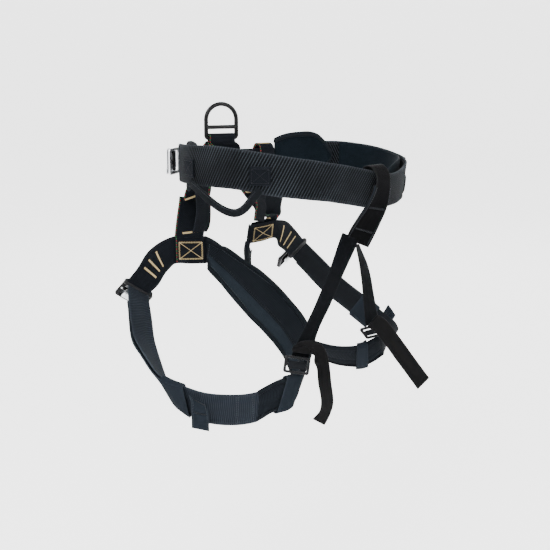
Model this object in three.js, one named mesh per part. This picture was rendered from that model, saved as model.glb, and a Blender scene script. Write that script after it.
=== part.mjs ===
// Tree climbing sit saddle: waist belt, leg loops, front D-ring, rear risers.
// Millimetres, +Z up, front of the wearer towards -Y, wearer's left towards +X.
// The origin is the middle of the waist opening, level with the belt.
import * as THREE from 'three';

// ---------------------------------------------------------------- sizes
const WEB_T = 2.2;            // thickness of the 45 mm and 42 mm webbing
const THIN_T = 1.8;           // thickness of the 25 mm webbing
const BELT_T = 2.8;           // outer belt webbing
const LINING_T = 3.4;         // belt lining
const PAD_T = 8;              // leg pad, middle thickness
const HIP_PAD_T = 7;          // hip pad thickness
const LOOP_T = 4;             // folded gear loop webbing
const TAB_T = 1.8;            // stitched tabs
const GAP = 0.4;              // clearance between touching layers
const RISER_LIFT = 3.6;       // riser's foot above the leg yoke, middle to middle
const BUCKLE_W = 52;          // leg buckle frame, along its bar
const BUCKLE_H = 30;
const BUCKLE_T = 3.6;
const BAR_R = 2.6;            // sliding bar of the leg buckle
const TAIL_OFF = 3.1;         // leg strap tail outside the strap, middle to middle
const TAIL_ROWS = { left: 8, right: 7 };
const KEEPER_ROWS = { left: [13, 17], right: [10, 13] };
const PAD_BAND_ROWS = { left: [20, 24], right: [19, 22] };
const LOCK_W = 36;            // ladder lock
const LOCK_H = 24;
const LOCK_T = 3.4;
const LOCK_LIFT = { left: 5, right: 4.2 };
const RING_W = 54;            // D-ring, outside width
const RING_H = 57.5;           // D-ring, outside height
const RING_ROD = 5.5;         // D-ring rod
const RING_YAW = 28;          // D-ring turned towards the wearer's left, degrees

// --------------------------------------------------- stations of each strap
// Each row: centre x, y, z; unit vector across the strap; width of the strap.
const ST = {
  waist_belt_webbing: [
    [151, -73.5, 15.1, 0, 0, -1, 53.3],
    [158.9, -62.5, 16, 0, 0, -1, 53.5],
    [169.1, -43.9, 16.9, 0, 0, -1, 53.3],
    [177.3, -19.4, 18.2, 0, 0, -1, 53.4],
    [180, 6, 18.9, 0, 0, -1, 54.2],
    [177.3, 31.4, 18.8, 0, 0, -1, 54.5],
    [166.9, 60.7, 16.8, 0, 0, -1, 53.7],
    [149.2, 87.6, 11.7, 0, 0, -1, 55.3],
    [125, 111, 6.5, 0, 0, -1, 53.5],
    [95.4, 129.8, 1.5, -0.018, -0.035, -0.999, 52.6],
    [61.6, 143.2, -4.8, -0.028, -0.094, -0.995, 52.8],
    [25.1, 150.6, -12.7, -0.018, -0.156, -0.988, 52.5],
    [-9.4, 151.8, -19.2, 0.008, -0.178, -0.984, 50.4],
    [-43.5, 147.7, -22, 0.037, -0.181, -0.983, 48.8],
    [-73.2, 139.4, -20.6, 0.055, -0.153, -0.987, 50.7],
    [-100.7, 127, -17.8, 0.059, -0.108, -0.992, 52.8],
    [-125, 111, -15.6, 0.054, -0.069, -0.996, 53.8],
    [-149.2, 87.6, -13.2, 0.036, -0.03, -0.999, 54.3],
    [-169.1, 55.9, -10.5, 0, 0, -1, 54.7],
    [-179, 21.3, -7, 0, 0, -1, 56.4],
    [-178.2, -14.3, -4.2, 0, 0, -1, 57.2],
    [-166.9, -48.7, -2.2, 0, 0, -1, 58.3],
    [-151, -73.5, -1.6, 0, 0, -1, 57.2],
  ],
  waist_belt_lining: [
    [153.8, -62.3, 15.9, 0, 0, -1, 51.5],
    [165.1, -42.1, 16.9, 0, 0, -1, 51.3],
    [173, -18.4, 18.2, 0, 0, -1, 51.4],
    [175.6, 6, 18.9, 0, 0, -1, 52.2],
    [173, 30.4, 18.8, 0, 0, -1, 52.5],
    [163, 58.7, 16.8, 0, 0, -1, 51.7],
    [145.8, 84.8, 11.7, 0, 0, -1, 53.3],
    [122.3, 107.6, 6.5, 0, 0, -1, 51.5],
    [93.4, 125.9, 1.5, -0.018, -0.035, -0.999, 50.6],
    [60.3, 139, -4.8, -0.028, -0.094, -0.995, 50.8],
    [24.4, 145.2, -11.8, -0.018, -0.156, -0.988, 50.5],
    [-9.1, 144.7, -16.8, 0.008, -0.178, -0.984, 48.4],
    [-41.4, 137.2, -17.5, 0.037, -0.181, -0.983, 46.8],
    [-69.1, 128, -13.6, 0.055, -0.153, -0.987, 48.7],
    [-95.2, 117.1, -11.2, 0.059, -0.108, -0.992, 50.8],
    [-119.1, 103.5, -11.3, 0.054, -0.069, -0.996, 51.8],
    [-144.1, 83.4, -11.4, 0.036, -0.03, -0.999, 52.3],
    [-165.1, 54.1, -10.5, 0, 0, -1, 52.7],
    [-174.7, 20.7, -7, 0, 0, -1, 54.4],
    [-173.9, -13.6, -4.2, 0, 0, -1, 55.2],
    [-164.1, -44.4, -2.2, 0, 0, -1, 56.4],
  ],
  hip_pad_right: [
    [-154.1, -51.5, 5, 0, 0, -1, 14],
    [-151.5, -55.7, 4.6, 0, 0, -1, 29.1],
    [-147.2, -62, 5.1, 0, 0, -1, 47.8],
    [-140.9, -70.1, 6, 0, 0, -1, 64],
    [-132.1, -79.6, 8, 0, 0, -1, 68],
    [-120.2, -90.2, 8, 0, 0, -1, 68],
    [-104.7, -101.2, 7.1, 0, 0, -1, 66.2],
    [-92.6, -108.1, 5.4, 0, 0, -1, 62.8],
    [-83.7, -112.4, 3.8, 0, 0, -1, 58.5],
  ],
  belt_closure_strap: [
    [125.4, -104.3, 14, 0, 0, -1, 25],
    [106, -112.4, 13.5, 0, 0, -1, 25],
    [83.4, -120.3, 12, 0, 0, -1, 25],
    [54.4, -128.1, 10, 0, 0, -1, 25],
    [24.5, -133.6, 8, 0, 0, -1, 25],
    [0, -135, 7, 0, 0, -1, 25],
    [-24.5, -133.6, 6, 0, 0, -1, 25],
    [-54.4, -128.1, 5, 0, 0, -1, 25],
    [-82.6, -118.5, 4, 0, 0, -1, 25],
    [-108.4, -105.1, 3, 0, 0, -1, 25],
    [-126.6, -91.9, 3, 0, 0, -1, 25],
  ],
  d_ring_strap_left: [
    [-4.8, -156.2, 31, -0.883, 0.469, 0, 44],
    [2, -158.4, 22, -0.921, 0.39, 0, 45],
    [20, -152.5, 5, -0.995, 0.1, 0, 45],
    [40, -146.5, -16, -1, 0, 0, 45],
    [57, -137.8, -30, -0.983, 0.152, 0.101, 45],
    [66.8, -130.2, -40, -0.948, 0.302, 0.101, 45],
    [70.3, -129.8, -50.5, -0.948, 0.302, 0.101, 45],
  ],
  riser_left: [
    [72, -136.4, -48.7, -0.945, 0.292, -0.144, 45],
    [73, -136.8, -60.1, -0.931, 0.321, -0.172, 45],
    [75, -137.6, -77.5, -0.908, 0.4, -0.121, 45],
    [82.5, -134, -105.4, -0.855, 0.517, -0.026, 45],
  ],
  riser_tunnel_left: [
    [52, -138.5, 12, -0.975, -0.221, 0, 36],
    [53, -136, 21, -0.968, -0.252, 0, 36],
    [54.5, -128, 27.5, -0.954, -0.301, 0, 36],
    [57, -119.5, 22, -0.94, -0.34, 0, 36],
    [60, -117, 5, -0.94, -0.34, 0, 36],
    [63, -117, -15, -0.954, -0.301, 0, 36],
    [70.2, -117.2, -35.7, -0.959, -0.211, -0.187, 36],
    [70.7, -114.4, -55, -0.965, -0.186, -0.185, 36],
    [68.6, -116.6, -73.7, -0.97, -0.159, -0.181, 36],
    [72.7, -115.8, -89.9, -0.989, -0.119, -0.092, 36],
    [75.4, -118.7, -99.1, -0.981, -0.168, -0.098, 36],
  ],
  leg_yoke_left: [
    [178.7, -141.4, -171.2, 0.799, -0.212, 0.563, 42],
    [159.2, -141.4, -157.8, 0.645, -0.305, 0.7, 42],
    [136.6, -144.5, -138.3, 0.363, -0.459, 0.811, 42],
    [104.6, -144.5, -126.4, -0.151, -0.19, 0.97, 42],
    [82.6, -135.1, -128, -0.151, -0.19, 0.97, 42],
    [60.6, -125.6, -129.6, -0.151, -0.19, 0.97, 42],
    [56, -123.6, -129.9, -0.151, -0.19, 0.97, 42],
  ],
  leg_pad_left: [
    [52.4, -112.9, -138, -0.476, 0.235, 0.848, 37.1],
    [48.5, -107.1, -143.2, -0.576, 0.383, 0.722, 45.6],
    [39.2, -85.2, -161.1, -0.609, 0.438, 0.661, 51.9],
    [31.9, -62.5, -179.1, -0.581, 0.39, 0.715, 60.3],
    [26.6, -37.1, -198.5, -0.568, 0.371, 0.735, 64.4],
    [23.7, -9.7, -217.6, -0.588, 0.402, 0.702, 62.7],
    [25.5, 18.3, -236, -0.607, 0.435, 0.665, 60],
    [35.5, 46.2, -253, -0.403, 0.608, 0.684, 57],
    [53.2, 69.8, -263.8, -0.442, 0.375, 0.815, 55],
    [73, 87.4, -277, -0.194, 0.284, 0.939, 50],
    [96.1, 94.9, -293.2, -0.355, 0.077, 0.932, 49],
    [114.3, 92.7, -295.7, -0.349, 0.071, 0.934, 48],
    [130.5, 87.8, -297.1, -0.332, 0.05, 0.942, 48],
    [154, 77.9, -307.1, -0.183, -0.121, 0.976, 42],
  ],
  leg_strap_left: [
    [173.5, -146.1, -174.4, -0.849, 0.05, -0.526, 42],
    [190.1, -126.5, -185.5, -0.981, -0.087, -0.172, 42],
    [204.3, -104.1, -208.7, -0.981, -0.09, -0.17, 42],
    [216.5, -82.7, -231.7, -0.933, -0.066, -0.353, 42],
    [225.6, -55.4, -253.3, -0.798, -0.026, -0.602, 42],
    [230.9, -34.9, -269.4, -0.671, 0.003, -0.741, 42],
    [231.6, -21.9, -279.3, -0.573, 0.021, -0.819, 42],
    [228.8, -6.8, -288.7, -0.408, 0.049, -0.912, 42],
    [220.2, 9.9, -297.7, -0.197, 0.079, -0.977, 42],
    [208.1, 34.7, -306.3, 0.07, 0.11, -0.991, 42],
    [181.2, 61.6, -309.6, 0.18, 0.12, -0.976, 42],
    [156.3, 77.3, -308.1, 0.18, 0.12, -0.976, 42],
  ],
  rear_strap_left: [
    [11.2, 119, -90.1, -0.565, 0.73, -0.385, 25],
    [23.8, 108.4, -133.3, -0.884, 0.251, -0.393, 25],
    [47.7, 105.4, -175, -0.913, 0.22, -0.344, 25],
    [70.7, 101.6, -211.6, -0.914, 0.214, -0.344, 25],
    [91.4, 99.8, -246.6, -0.653, 0.745, -0.138, 25],
  ],
  rear_strap_right: [
    [-9.3, 119, -102.9, 0.632, 0.744, 0.215, 25],
    [-39.3, 108.1, -141.1, 0.351, 0.884, 0.31, 25],
    [-65.6, 94.1, -177.7, 0.213, 0.931, 0.297, 25],
    [-88.2, 83.3, -217.8, 0.048, 0.96, 0.277, 25],
    [-102.6, 76.7, -242.3, -0.195, 0.913, 0.359, 25],
  ],
  rear_tail_left: [
    [94.9, 105.6, -238.8, -0.655, 0.744, -0.129, 25],
    [97, 107.3, -228, -0.699, 0.693, 0.175, 25],
    [87.8, 118.5, -232, -0.065, 0.371, -0.926, 25],
    [81.8, 123.4, -236.6, 0.408, -0.145, -0.901, 25],
    [75.3, 128, -257.2, -0.023, -0.929, -0.371, 25],
    [75.9, 132.1, -280.8, -0.02, -0.965, -0.262, 25],
    [75.2, 136.3, -305.5, -0.104, -0.97, -0.22, 25],
    [77.7, 134.6, -322.1, -0.214, -0.96, -0.18, 25],
    [83.9, 128.2, -336.8, -0.159, -0.986, 0.054, 25],
  ],
  rear_tail_right: [
    [-82.7, 90.8, -231, 0.558, -0.355, -0.75, 25],
    [-91.8, 98.2, -237.7, 0.553, -0.347, -0.758, 25],
    [-104.8, 108, -257.4, 0.58, -0.389, -0.715, 25],
    [-118.2, 126.4, -288.4, 0.621, -0.459, -0.635, 25],
    [-133.7, 153.1, -328.6, 0.594, -0.413, -0.69, 25],
  ],
  d_ring_strap_right: [
    [-7, -143.2, 24.5, -0.933, 0.361, 0, 44],
    [-14, -142, 14, -0.995, 0.1, 0, 45],
    [-30, -142.5, -4, -0.994, 0.1, 0.05, 45],
    [-47, -143, -22, -0.974, 0.201, 0.1, 45],
    [-62, -141.5, -46.8, -0.959, 0.282, -0.003, 45],
    [-65, -133.2, -56.9, -0.959, 0.282, 0.034, 45],
  ],
  riser_right: [
    [-84, -113.4, -58.6, -0.986, -0.037, -0.165, 45],
    [-84, -117.9, -75.3, -0.986, -0.033, -0.165, 45],
    [-84, -122.3, -91.3, -0.991, 0.064, -0.114, 45],
  ],
  riser_tunnel_right: [
    [-70, -133.5, 4, -0.924, 0.382, 0, 25],
    [-70, -132.5, 14, -0.924, 0.382, 0, 25],
    [-70, -126, 24.5, -0.924, 0.382, 0, 25],
    [-70, -117, 20, -0.924, 0.382, 0, 25],
    [-69, -114, 5, -0.924, 0.382, 0, 26],
    [-66, -113, -14, -0.94, 0.34, 0, 30],
    [-55.5, -108.5, -33, -0.979, 0.206, 0, 30],
    [-46, -108.2, -57.4, -0.958, -0.217, -0.188, 32],
    [-46, -106.1, -71.5, -0.958, -0.216, -0.188, 32],
    [-48, -110.3, -85, -0.959, -0.214, -0.188, 32],
    [-52, -116.4, -97.5, -0.959, -0.211, -0.187, 32],
  ],
  leg_yoke_right: [
    [-175, -144.3, -161.7, -0.875, -0.031, 0.483, 42],
    [-138, -134, -138, -0.652, 0.102, 0.752, 42],
    [-105.3, -126.4, -118.8, 0.334, 0.459, 0.823, 42],
    [-84, -137.1, -121.6, 0.334, 0.459, 0.823, 42],
    [-62.7, -147.7, -124.3, 0.334, 0.459, 0.823, 42],
    [-60, -149, -124.6, 0.334, 0.459, 0.823, 42],
  ],
  leg_pad_right: [
    [-60, -148.2, -143.5, 0.64, 0.497, 0.586, 40],
    [-53, -143.7, -158.5, 0.64, 0.497, 0.586, 46],
    [-44, -129.4, -181.7, 0.64, 0.497, 0.586, 56],
    [-37, -102.5, -214.4, 0.64, 0.497, 0.586, 63],
    [-35, -65.5, -245.5, 0.602, 0.501, 0.622, 63],
    [-40, -31.5, -269.5, 0.561, 0.471, 0.681, 60],
    [-52, -11.6, -282.8, 0.649, 0.49, 0.582, 56],
    [-64, 4.1, -290.9, 0.616, 0.41, 0.673, 52],
    [-78, 23.2, -297.8, 0.52, 0.399, 0.756, 50],
    [-93, 41.3, -299.8, 0.464, 0.345, 0.816, 49],
    [-104, 56.5, -297.5, 0.353, 0.329, 0.876, 48],
    [-115, 66.5, -290.5, 0.455, 0.191, 0.87, 46],
    [-127, 74.8, -282.5, 0.534, 0.14, 0.834, 42],
  ],
  leg_strap_right: [
    [-181, -147.3, -164.7, -0.873, -0.027, 0.487, 42],
    [-189, -141.6, -175.7, -0.866, 0.039, 0.499, 42],
    [-198, -117.1, -198.3, -0.867, 0.035, 0.497, 42],
    [-208, -100.5, -216.9, -0.867, 0.035, 0.497, 42],
    [-218, -78.2, -235.4, -0.845, -0.002, 0.536, 42],
    [-228, -52.8, -254.2, -0.847, -0.006, 0.532, 42],
    [-233, -21.7, -273.5, -0.879, -0.042, 0.475, 42],
    [-228, 7.9, -284.6, -0.9, 0.148, 0.411, 42],
    [-210, 27.7, -289.3, -0.744, 0.387, 0.545, 42],
    [-182, 50.6, -290, -0.143, 0.607, 0.782, 42],
    [-152, 66.9, -287, 0.23, 0.422, 0.877, 42],
    [-130, 73, -283.5, 0.525, 0.157, 0.837, 42],
  ],
  gear_loop_left: [
    [183.9, -17, -5.2, 0.082, 0.439, 0.895, 11],
    [185.1, -12.7, -7.4, 0.055, 0.361, 0.931, 11],
    [187.9, 0, -12, 0.019, 0.399, 0.917, 11],
    [189.2, 20.6, -22, -0.051, 0.443, 0.895, 11],
    [187.9, 38.3, -31, -0.103, 0.406, 0.908, 11],
    [184.3, 53.2, -37.1, -0.091, 0.241, 0.966, 11],
    [179.3, 64.8, -38.4, 0.078, -0.161, 0.984, 11],
    [173.4, 73.8, -32.9, 0.317, -0.549, 0.774, 11],
    [167.1, 80.3, -22.4, 0.424, -0.643, 0.637, 11],
    [160.7, 85.9, -12.1, 0.481, -0.649, 0.59, 11],
    [158, 87, -7.7, 0.531, -0.693, 0.488, 11],
  ],
  gear_loop_right: [
    [-186.1, -17, -12.7, -0.082, 0.439, 0.895, 11],
    [-187.3, -12.7, -14.9, -0.055, 0.361, 0.931, 11],
    [-190.1, 0, -19.5, -0.019, 0.399, 0.917, 11],
    [-191.4, 20.6, -29.5, 0.051, 0.443, 0.895, 11],
    [-190.1, 38.3, -38.5, 0.103, 0.406, 0.908, 11],
    [-186.5, 53.2, -44.6, 0.091, 0.241, 0.966, 11],
    [-181.5, 64.8, -45.9, -0.078, -0.161, 0.984, 11],
    [-175.6, 73.8, -40.4, -0.317, -0.549, 0.774, 11],
    [-169.3, 80.3, -29.9, -0.424, -0.643, 0.637, 11],
    [-162.9, 85.9, -19.6, -0.481, -0.649, 0.59, 11],
    [-160.2, 87, -15.2, -0.531, -0.693, 0.488, 11],
  ],
  gear_tab_front_left: [
    [175.1, -37.8, 13.5, 0, 0, -1, 25],
    [178, -29.4, 13.5, 0, 0, -1, 25],
    [180.2, -20.9, 13.5, 0, 0, -1, 25],
    [181.8, -12.3, 13.5, 0, 0, -1, 25],
  ],
  gear_tab_rear_left: [
    [163.1, 74, 9.2, 0, 0, -1, 24.5],
    [158, 81.6, 9.2, 0, 0, -1, 24.5],
    [152.3, 89, 9.2, 0, 0, -1, 24.5],
    [146.1, 96, 9.2, 0, 0, -1, 24.5],
  ],
  gear_tab_front_right: [
    [-175.9, -38.1, 8.5, -0, 0, -1, 25],
    [-178.7, -29.6, 8.5, -0, 0, -1, 25],
    [-181, -21.1, 8.5, -0, 0, -1, 25],
    [-182.6, -12.4, 8.5, -0, 0, -1, 25],
  ],
  gear_tab_rear_right: [
    [-164.6, 74.9, -0.2, -0, 0, -1, 24.5],
    [-159.4, 82.7, -0.2, -0, 0, -1, 24.5],
    [-153.7, 90.1, -0.2, -0, 0, -1, 24.5],
    [-147.4, 97.3, -0.2, -0, 0, -1, 24.5],
  ],
  leg_tail_end_left: [
    [221.1, 28.2, -292.3, -0.525, 0.714, -0.463, 24],
    [223.3, 35.3, -298.5, -0.539, 0.72, -0.437, 24],
    [226.2, 40.2, -309.3, -0.638, 0.746, -0.191, 24],
    [229.6, 44.4, -328.6, -0.638, 0.746, -0.191, 24],
  ],
  leg_tail_end_right: [
    [-257.4, -15.3, -266.5, -0.491, 0.255, 0.833, 24],
    [-257.2, -6.9, -274.7, -0.521, 0.298, 0.8, 24],
    [-255.5, 1, -281.3, -0.51, 0.283, 0.812, 24],
  ],
  rear_hanger: [
    [-2, 133.5, -38, 0.999, 0.05, 0, 30],
    [-2, 134, -15, 1, 0.02, 0, 30],
    [-3, 135.5, 2, 1, 0, 0, 30],
    [-4, 142, 13, 1, 0, 0, 30],
    [-5, 154, 14, 1, 0, 0, 30],
    [-6, 163.5, 1, 0.999, 0, 0.05, 30],
    [-4, 163.5, -20, 0.983, -0.101, 0.152, 30],
    [0, 158, -42, 0.896, -0.398, 0.199, 30],
    [3, 147, -62, 0.756, -0.605, 0.252, 32],
    [4, 136, -80, 0.596, -0.745, 0.298, 34],
    [3, 127, -94, 0.497, -0.795, 0.348, 34],
  ],};

// ---------------------------------------------------------------- materials
function mat(color, roughness, metalness) {
  return new THREE.MeshStandardMaterial({ color, roughness, metalness });
}
const WEB = () => mat(0x1b1f24, 0.85, 0.0);
const WEB_GREY = () => mat(0x2c3138, 0.85, 0.0);
const PAD = () => mat(0x2a2f36, 0.95, 0.0);
const STEEL = () => mat(0xb9bcc0, 0.32, 1.0);
const DARK_STEEL = () => mat(0x4a4a4e, 0.28, 1.0);

// ---------------------------------------------------------------- helpers
const vec = (x, y, z) => new THREE.Vector3(x, y, z);

function spline(a, b, c, d, t) {
  return 0.5 * (2 * b + (c - a) * t + (2 * a - 5 * b + 4 * c - d) * t * t
    + (3 * b - a - 3 * c + d) * t * t * t);
}

// stations -> evenly subdivided frames {c, t, w, n, half}
function frames(st, per) {
  const rows = [];
  const n = st.length;
  const at = (i) => {
    if (i < 0) return st[0].map((v, k) => (k < 3 ? 2 * v - st[1][k] : v));
    if (i >= n) return st[n - 1].map((v, k) => (k < 3 ? 2 * v - st[n - 2][k] : v));
    return st[i];
  };
  for (let i = 0; i < n - 1; i++) {
    for (let j = 0; j < per; j++) {
      const t = j / per;
      const a = at(i - 1), b = at(i), c = at(i + 1), d = at(i + 2);
      rows.push(b.map((_, k) => spline(a[k], b[k], c[k], d[k], t)));
    }
  }
  rows.push(st[n - 1].slice());
  const f = rows.map((r) => ({
    c: vec(r[0], r[1], r[2]), w: vec(r[3], r[4], r[5]).normalize(), half: r[6] / 2,
  }));
  f.forEach((q, i) => {
    const a = f[Math.max(i - 1, 0)].c, b = f[Math.min(i + 1, f.length - 1)].c;
    q.t = b.clone().sub(a).normalize();
    q.n = q.t.clone().cross(q.w).normalize();
  });
  return f;
}

function meshFrom(name, pos, idx, material) {
  const g = new THREE.BufferGeometry();
  g.setAttribute('position', new THREE.Float32BufferAttribute(pos, 3));
  g.setIndex(idx);
  g.computeVertexNormals();
  const m = new THREE.Mesh(g, material);
  m.name = name;
  return m;
}

// a closed strap: section is a list of [across -1..1, through -0.5..0.5]
const FLAT = [[-1, -0.5], [1, -0.5], [1, 0.5], [-1, 0.5]];
const CROWN = [[-1, -0.16], [-0.84, -0.42], [0, -0.5], [0.84, -0.42],
  [1, -0.16], [1, 0.16], [0.84, 0.42], [0, 0.5], [-0.84, 0.42], [-1, 0.16]];

function strap(name, st, thick, material, opt = {}) {
  const f = frames(st, opt.per || 2);
  const sec = opt.section || FLAT;
  const m = sec.length, pos = [], idx = [];
  f.forEach((q, i) => {
    const u = i / (f.length - 1);
    const off = typeof opt.off === 'function' ? opt.off(u) : (opt.off || 0);
    const th = typeof thick === 'function' ? thick(u) : thick;
    for (const [a, b] of sec) {
      const p = q.c.clone().addScaledVector(q.w, a * q.half).addScaledVector(q.n, off + b * th);
      pos.push(p.x, p.y, p.z);
    }
  });
  const L = f.length;
  for (let i = 0; i < L - 1; i++) {
    for (let j = 0; j < m; j++) {
      const a = i * m + j, b = i * m + (j + 1) % m, c = a + m, d = b + m;
      idx.push(a, b, d, a, d, c);
    }
  }
  for (let j = 1; j < m - 1; j++) {
    idx.push(0, j + 1, j);
    const o = (L - 1) * m;
    idx.push(o, o + j, o + j + 1);
  }
  return meshFrom(name, pos, idx, material);
}

// a band that goes right round a strap, open at both ends
function band(name, fr, inW, lo, hi, wall, material) {
  const pos = [], idx = [];
  fr.forEach((q) => {
    const ring = (w, a, b) => [[-w, a], [w, a], [w, b], [-w, b]].forEach(([x, y]) => {
      const p = q.c.clone().addScaledVector(q.w, x).addScaledVector(q.n, y);
      pos.push(p.x, p.y, p.z);
    });
    ring(inW / 2 + wall, lo - wall, hi + wall);
    ring(inW / 2, lo, hi);
  });
  const L = fr.length;
  for (let i = 0; i < L - 1; i++) {
    for (let j = 0; j < 4; j++) {
      const a = i * 8 + j, b = i * 8 + (j + 1) % 4, c = a + 8, d = b + 8;
      idx.push(a, b, d, a, d, c);
      const e = a + 4, g = b + 4, h = c + 4, k = d + 4;
      idx.push(e, k, g, e, h, k);
    }
  }
  for (let j = 0; j < 4; j++) {
    const a = j, b = (j + 1) % 4, e = a + 4, g = b + 4;
    idx.push(a, e, g, a, g, b);
    const o = (L - 1) * 8;
    idx.push(o + a, o + g, o + e, o + a, o + b, o + g);
  }
  return meshFrom(name, pos, idx, material);
}

// put a geometry built about its own origin into place: x, y, z axes given
function place(geo, name, material, o, ex, ey) {
  const ez = ex.clone().cross(ey).normalize();
  const y = ez.clone().cross(ex).normalize();
  const m4 = new THREE.Matrix4().makeBasis(ex.clone().normalize(), y, ez);
  m4.setPosition(o);
  geo.applyMatrix4(m4);
  const m = new THREE.Mesh(geo, material);
  m.name = name;
  return m;
}

function roundRect(path, x0, y0, x1, y1, r) {
  path.moveTo(x0 + r, y0);
  path.lineTo(x1 - r, y0);
  path.absarc(x1 - r, y0 + r, r, -Math.PI / 2, 0, false);
  path.lineTo(x1, y1 - r);
  path.absarc(x1 - r, y1 - r, r, 0, Math.PI / 2, false);
  path.lineTo(x0 + r, y1);
  path.absarc(x0 + r, y1 - r, r, Math.PI / 2, Math.PI, false);
  path.lineTo(x0, y0 + r);
  path.absarc(x0 + r, y0 + r, r, Math.PI, Math.PI * 1.5, false);
  return path;
}

// a rectangular frame lying in its x-y plane with one or more slots
function frameGeo(w, h, t, r, slots, seg = 3) {
  const s = roundRect(new THREE.Shape(), -w / 2, -h / 2, w / 2, h / 2, r);
  for (const [x0, y0, x1, y1, rr] of slots) {
    s.holes.push(roundRect(new THREE.Path(), x0, y0, x1, y1, rr));
  }
  const g = new THREE.ExtrudeGeometry(s, { depth: t, bevelEnabled: false, curveSegments: seg });
  g.translate(0, 0, -t / 2);
  return g;
}

// ---------------------------------------------------------------- assembly
const saddle = new THREE.Group();
saddle.name = 'tree_climbing_saddle';
const add = (m) => { saddle.add(m); return m; };

// waist belt
add(strap('waist_belt_webbing', ST.waist_belt_webbing, BELT_T, WEB(), { per: 2 }));
add(strap('waist_belt_lining', ST.waist_belt_lining, LINING_T, WEB_GREY(), { per: 2 }));
const mirrorX = (st) => st.map((r) => [-r[0], r[1], r[2], -r[3], r[4], r[5], r[6]]);
add(strap('hip_pad_right', ST.hip_pad_right, HIP_PAD_T, PAD(), { per: 2, section: CROWN }));
const inward = (st, k) => st.map((r) => [r[0] * k, r[1] * k, ...r.slice(2)]);
add(strap('hip_pad_left', inward(mirrorX(ST.hip_pad_right).slice(0, -1), 0.99), HIP_PAD_T, PAD(), { per: 2, section: CROWN }));
add(strap('belt_closure_strap', ST.belt_closure_strap, 2.0, WEB(), { per: 2 }));

// gear loops and their tabs
for (const side of ['left', 'right']) {
  add(strap('gear_loop_' + side, ST['gear_loop_' + side], LOOP_T, WEB_GREY(), { per: 2 }));
  add(strap('gear_tab_front_' + side, ST['gear_tab_front_' + side], TAB_T, WEB_GREY(), { per: 2 }));
  add(strap('gear_tab_rear_' + side, ST['gear_tab_rear_' + side], TAB_T, WEB_GREY(), { per: 2 }));
}

// front D-ring: flat-sided rod, crossbar above the webbing bar
const yaw = THREE.MathUtils.degToRad(RING_YAW);
const ringX = vec(-Math.cos(yaw), Math.sin(yaw), 0);      // along the bars
const ringO = vec(0, -147, 33.7);                          // middle of the ring's foot
{
  const w = RING_W / 2, rod = RING_ROD, top = RING_H;
  const s = new THREE.Shape();
  s.moveTo(-w + 5, 0); s.lineTo(w - 5, 0);
  s.absarc(w - 5, 5, 5, -Math.PI / 2, 0, false);
  s.lineTo(w, top - w);
  s.absarc(0, top - w, w, 0, Math.PI, false);
  s.lineTo(-w, 5);
  s.absarc(-w + 5, 5, 5, Math.PI, Math.PI * 1.5, false);
  const eye = new THREE.Path();
  const yi = 21.6, ri = w - rod;
  eye.moveTo(-ri, yi); eye.lineTo(ri, yi); eye.lineTo(ri, top - w);
  eye.absarc(0, top - w, ri, 0, Math.PI, false);
  eye.lineTo(-ri, yi);
  s.holes.push(eye);
  s.holes.push(roundRect(new THREE.Path(), -ri, rod, ri, 17.2, 2.2));
  const g = new THREE.ExtrudeGeometry(s, { depth: rod, bevelEnabled: false, curveSegments: 10 });
  g.translate(0, 0, -rod / 2);
  add(place(g, 'd_ring', DARK_STEEL(), ringO, ringX, vec(0, 0, 1)));
}

// webbing folded over the ring's lower bar, then down to the right riser
const barO = ringO.clone().add(vec(0, 0, RING_ROD / 2));
const ringN = vec(Math.sin(yaw), Math.cos(yaw), 0);
{
  const r = RING_ROD / 2 + GAP + WEB_T / 2 + 1.2;
  const row = (a, z) => {
    const p = barO.clone().addScaledVector(ringN, a).add(vec(0, 0, z));
    return [p.x, p.y, p.z, ringX.x, ringX.y, ringX.z, 41.5];
  };
  const wrap = [row(-r, -13), row(-r, -5), row(-r, 0), row(-r * 0.88, r * 0.88), row(0, r + 0.5),
    row(r * 0.88, r * 0.88), row(r, 0), row(r, -6)];
  add(strap('d_ring_strap_right', wrap.concat(ST.d_ring_strap_right), WEB_T, WEB(), { per: 2 }));
  add(strap('d_ring_strap_left', ST.d_ring_strap_left, WEB_T, WEB(), { per: 2 }));
}

// risers, their belt tunnels, leg yokes, pads and straps
for (const side of ['left', 'right']) {
  // the riser's foot lies flat on the yoke, where the two are sewn together
  const yk = frames(ST['leg_yoke_' + side], 1);
  const q = yk[yk.length - 3];
  const foot = (a) => {
    const p = q.c.clone().addScaledVector(q.w, a).addScaledVector(q.n, RISER_LIFT);
    return [p.x, p.y, p.z, q.t.x, q.t.y, q.t.z, 45];
  };
  const riser = ST['riser_' + side].concat([foot(19), foot(0), foot(-20)]);
  add(strap('riser_' + side, riser, WEB_T, WEB(), { per: 2 }));
  add(strap('riser_tunnel_' + side, ST['riser_tunnel_' + side], 2.0, WEB(), { per: 2 }));
  add(strap('leg_yoke_' + side, ST['leg_yoke_' + side], WEB_T, WEB(), { per: 2 }));
  add(strap('leg_pad_' + side, ST['leg_pad_' + side], PAD_T, PAD(), { per: 2, section: CROWN }));
  add(strap('leg_strap_' + side, ST['leg_strap_' + side], WEB_T, WEB_GREY(), { per: 2 }));
}

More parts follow.
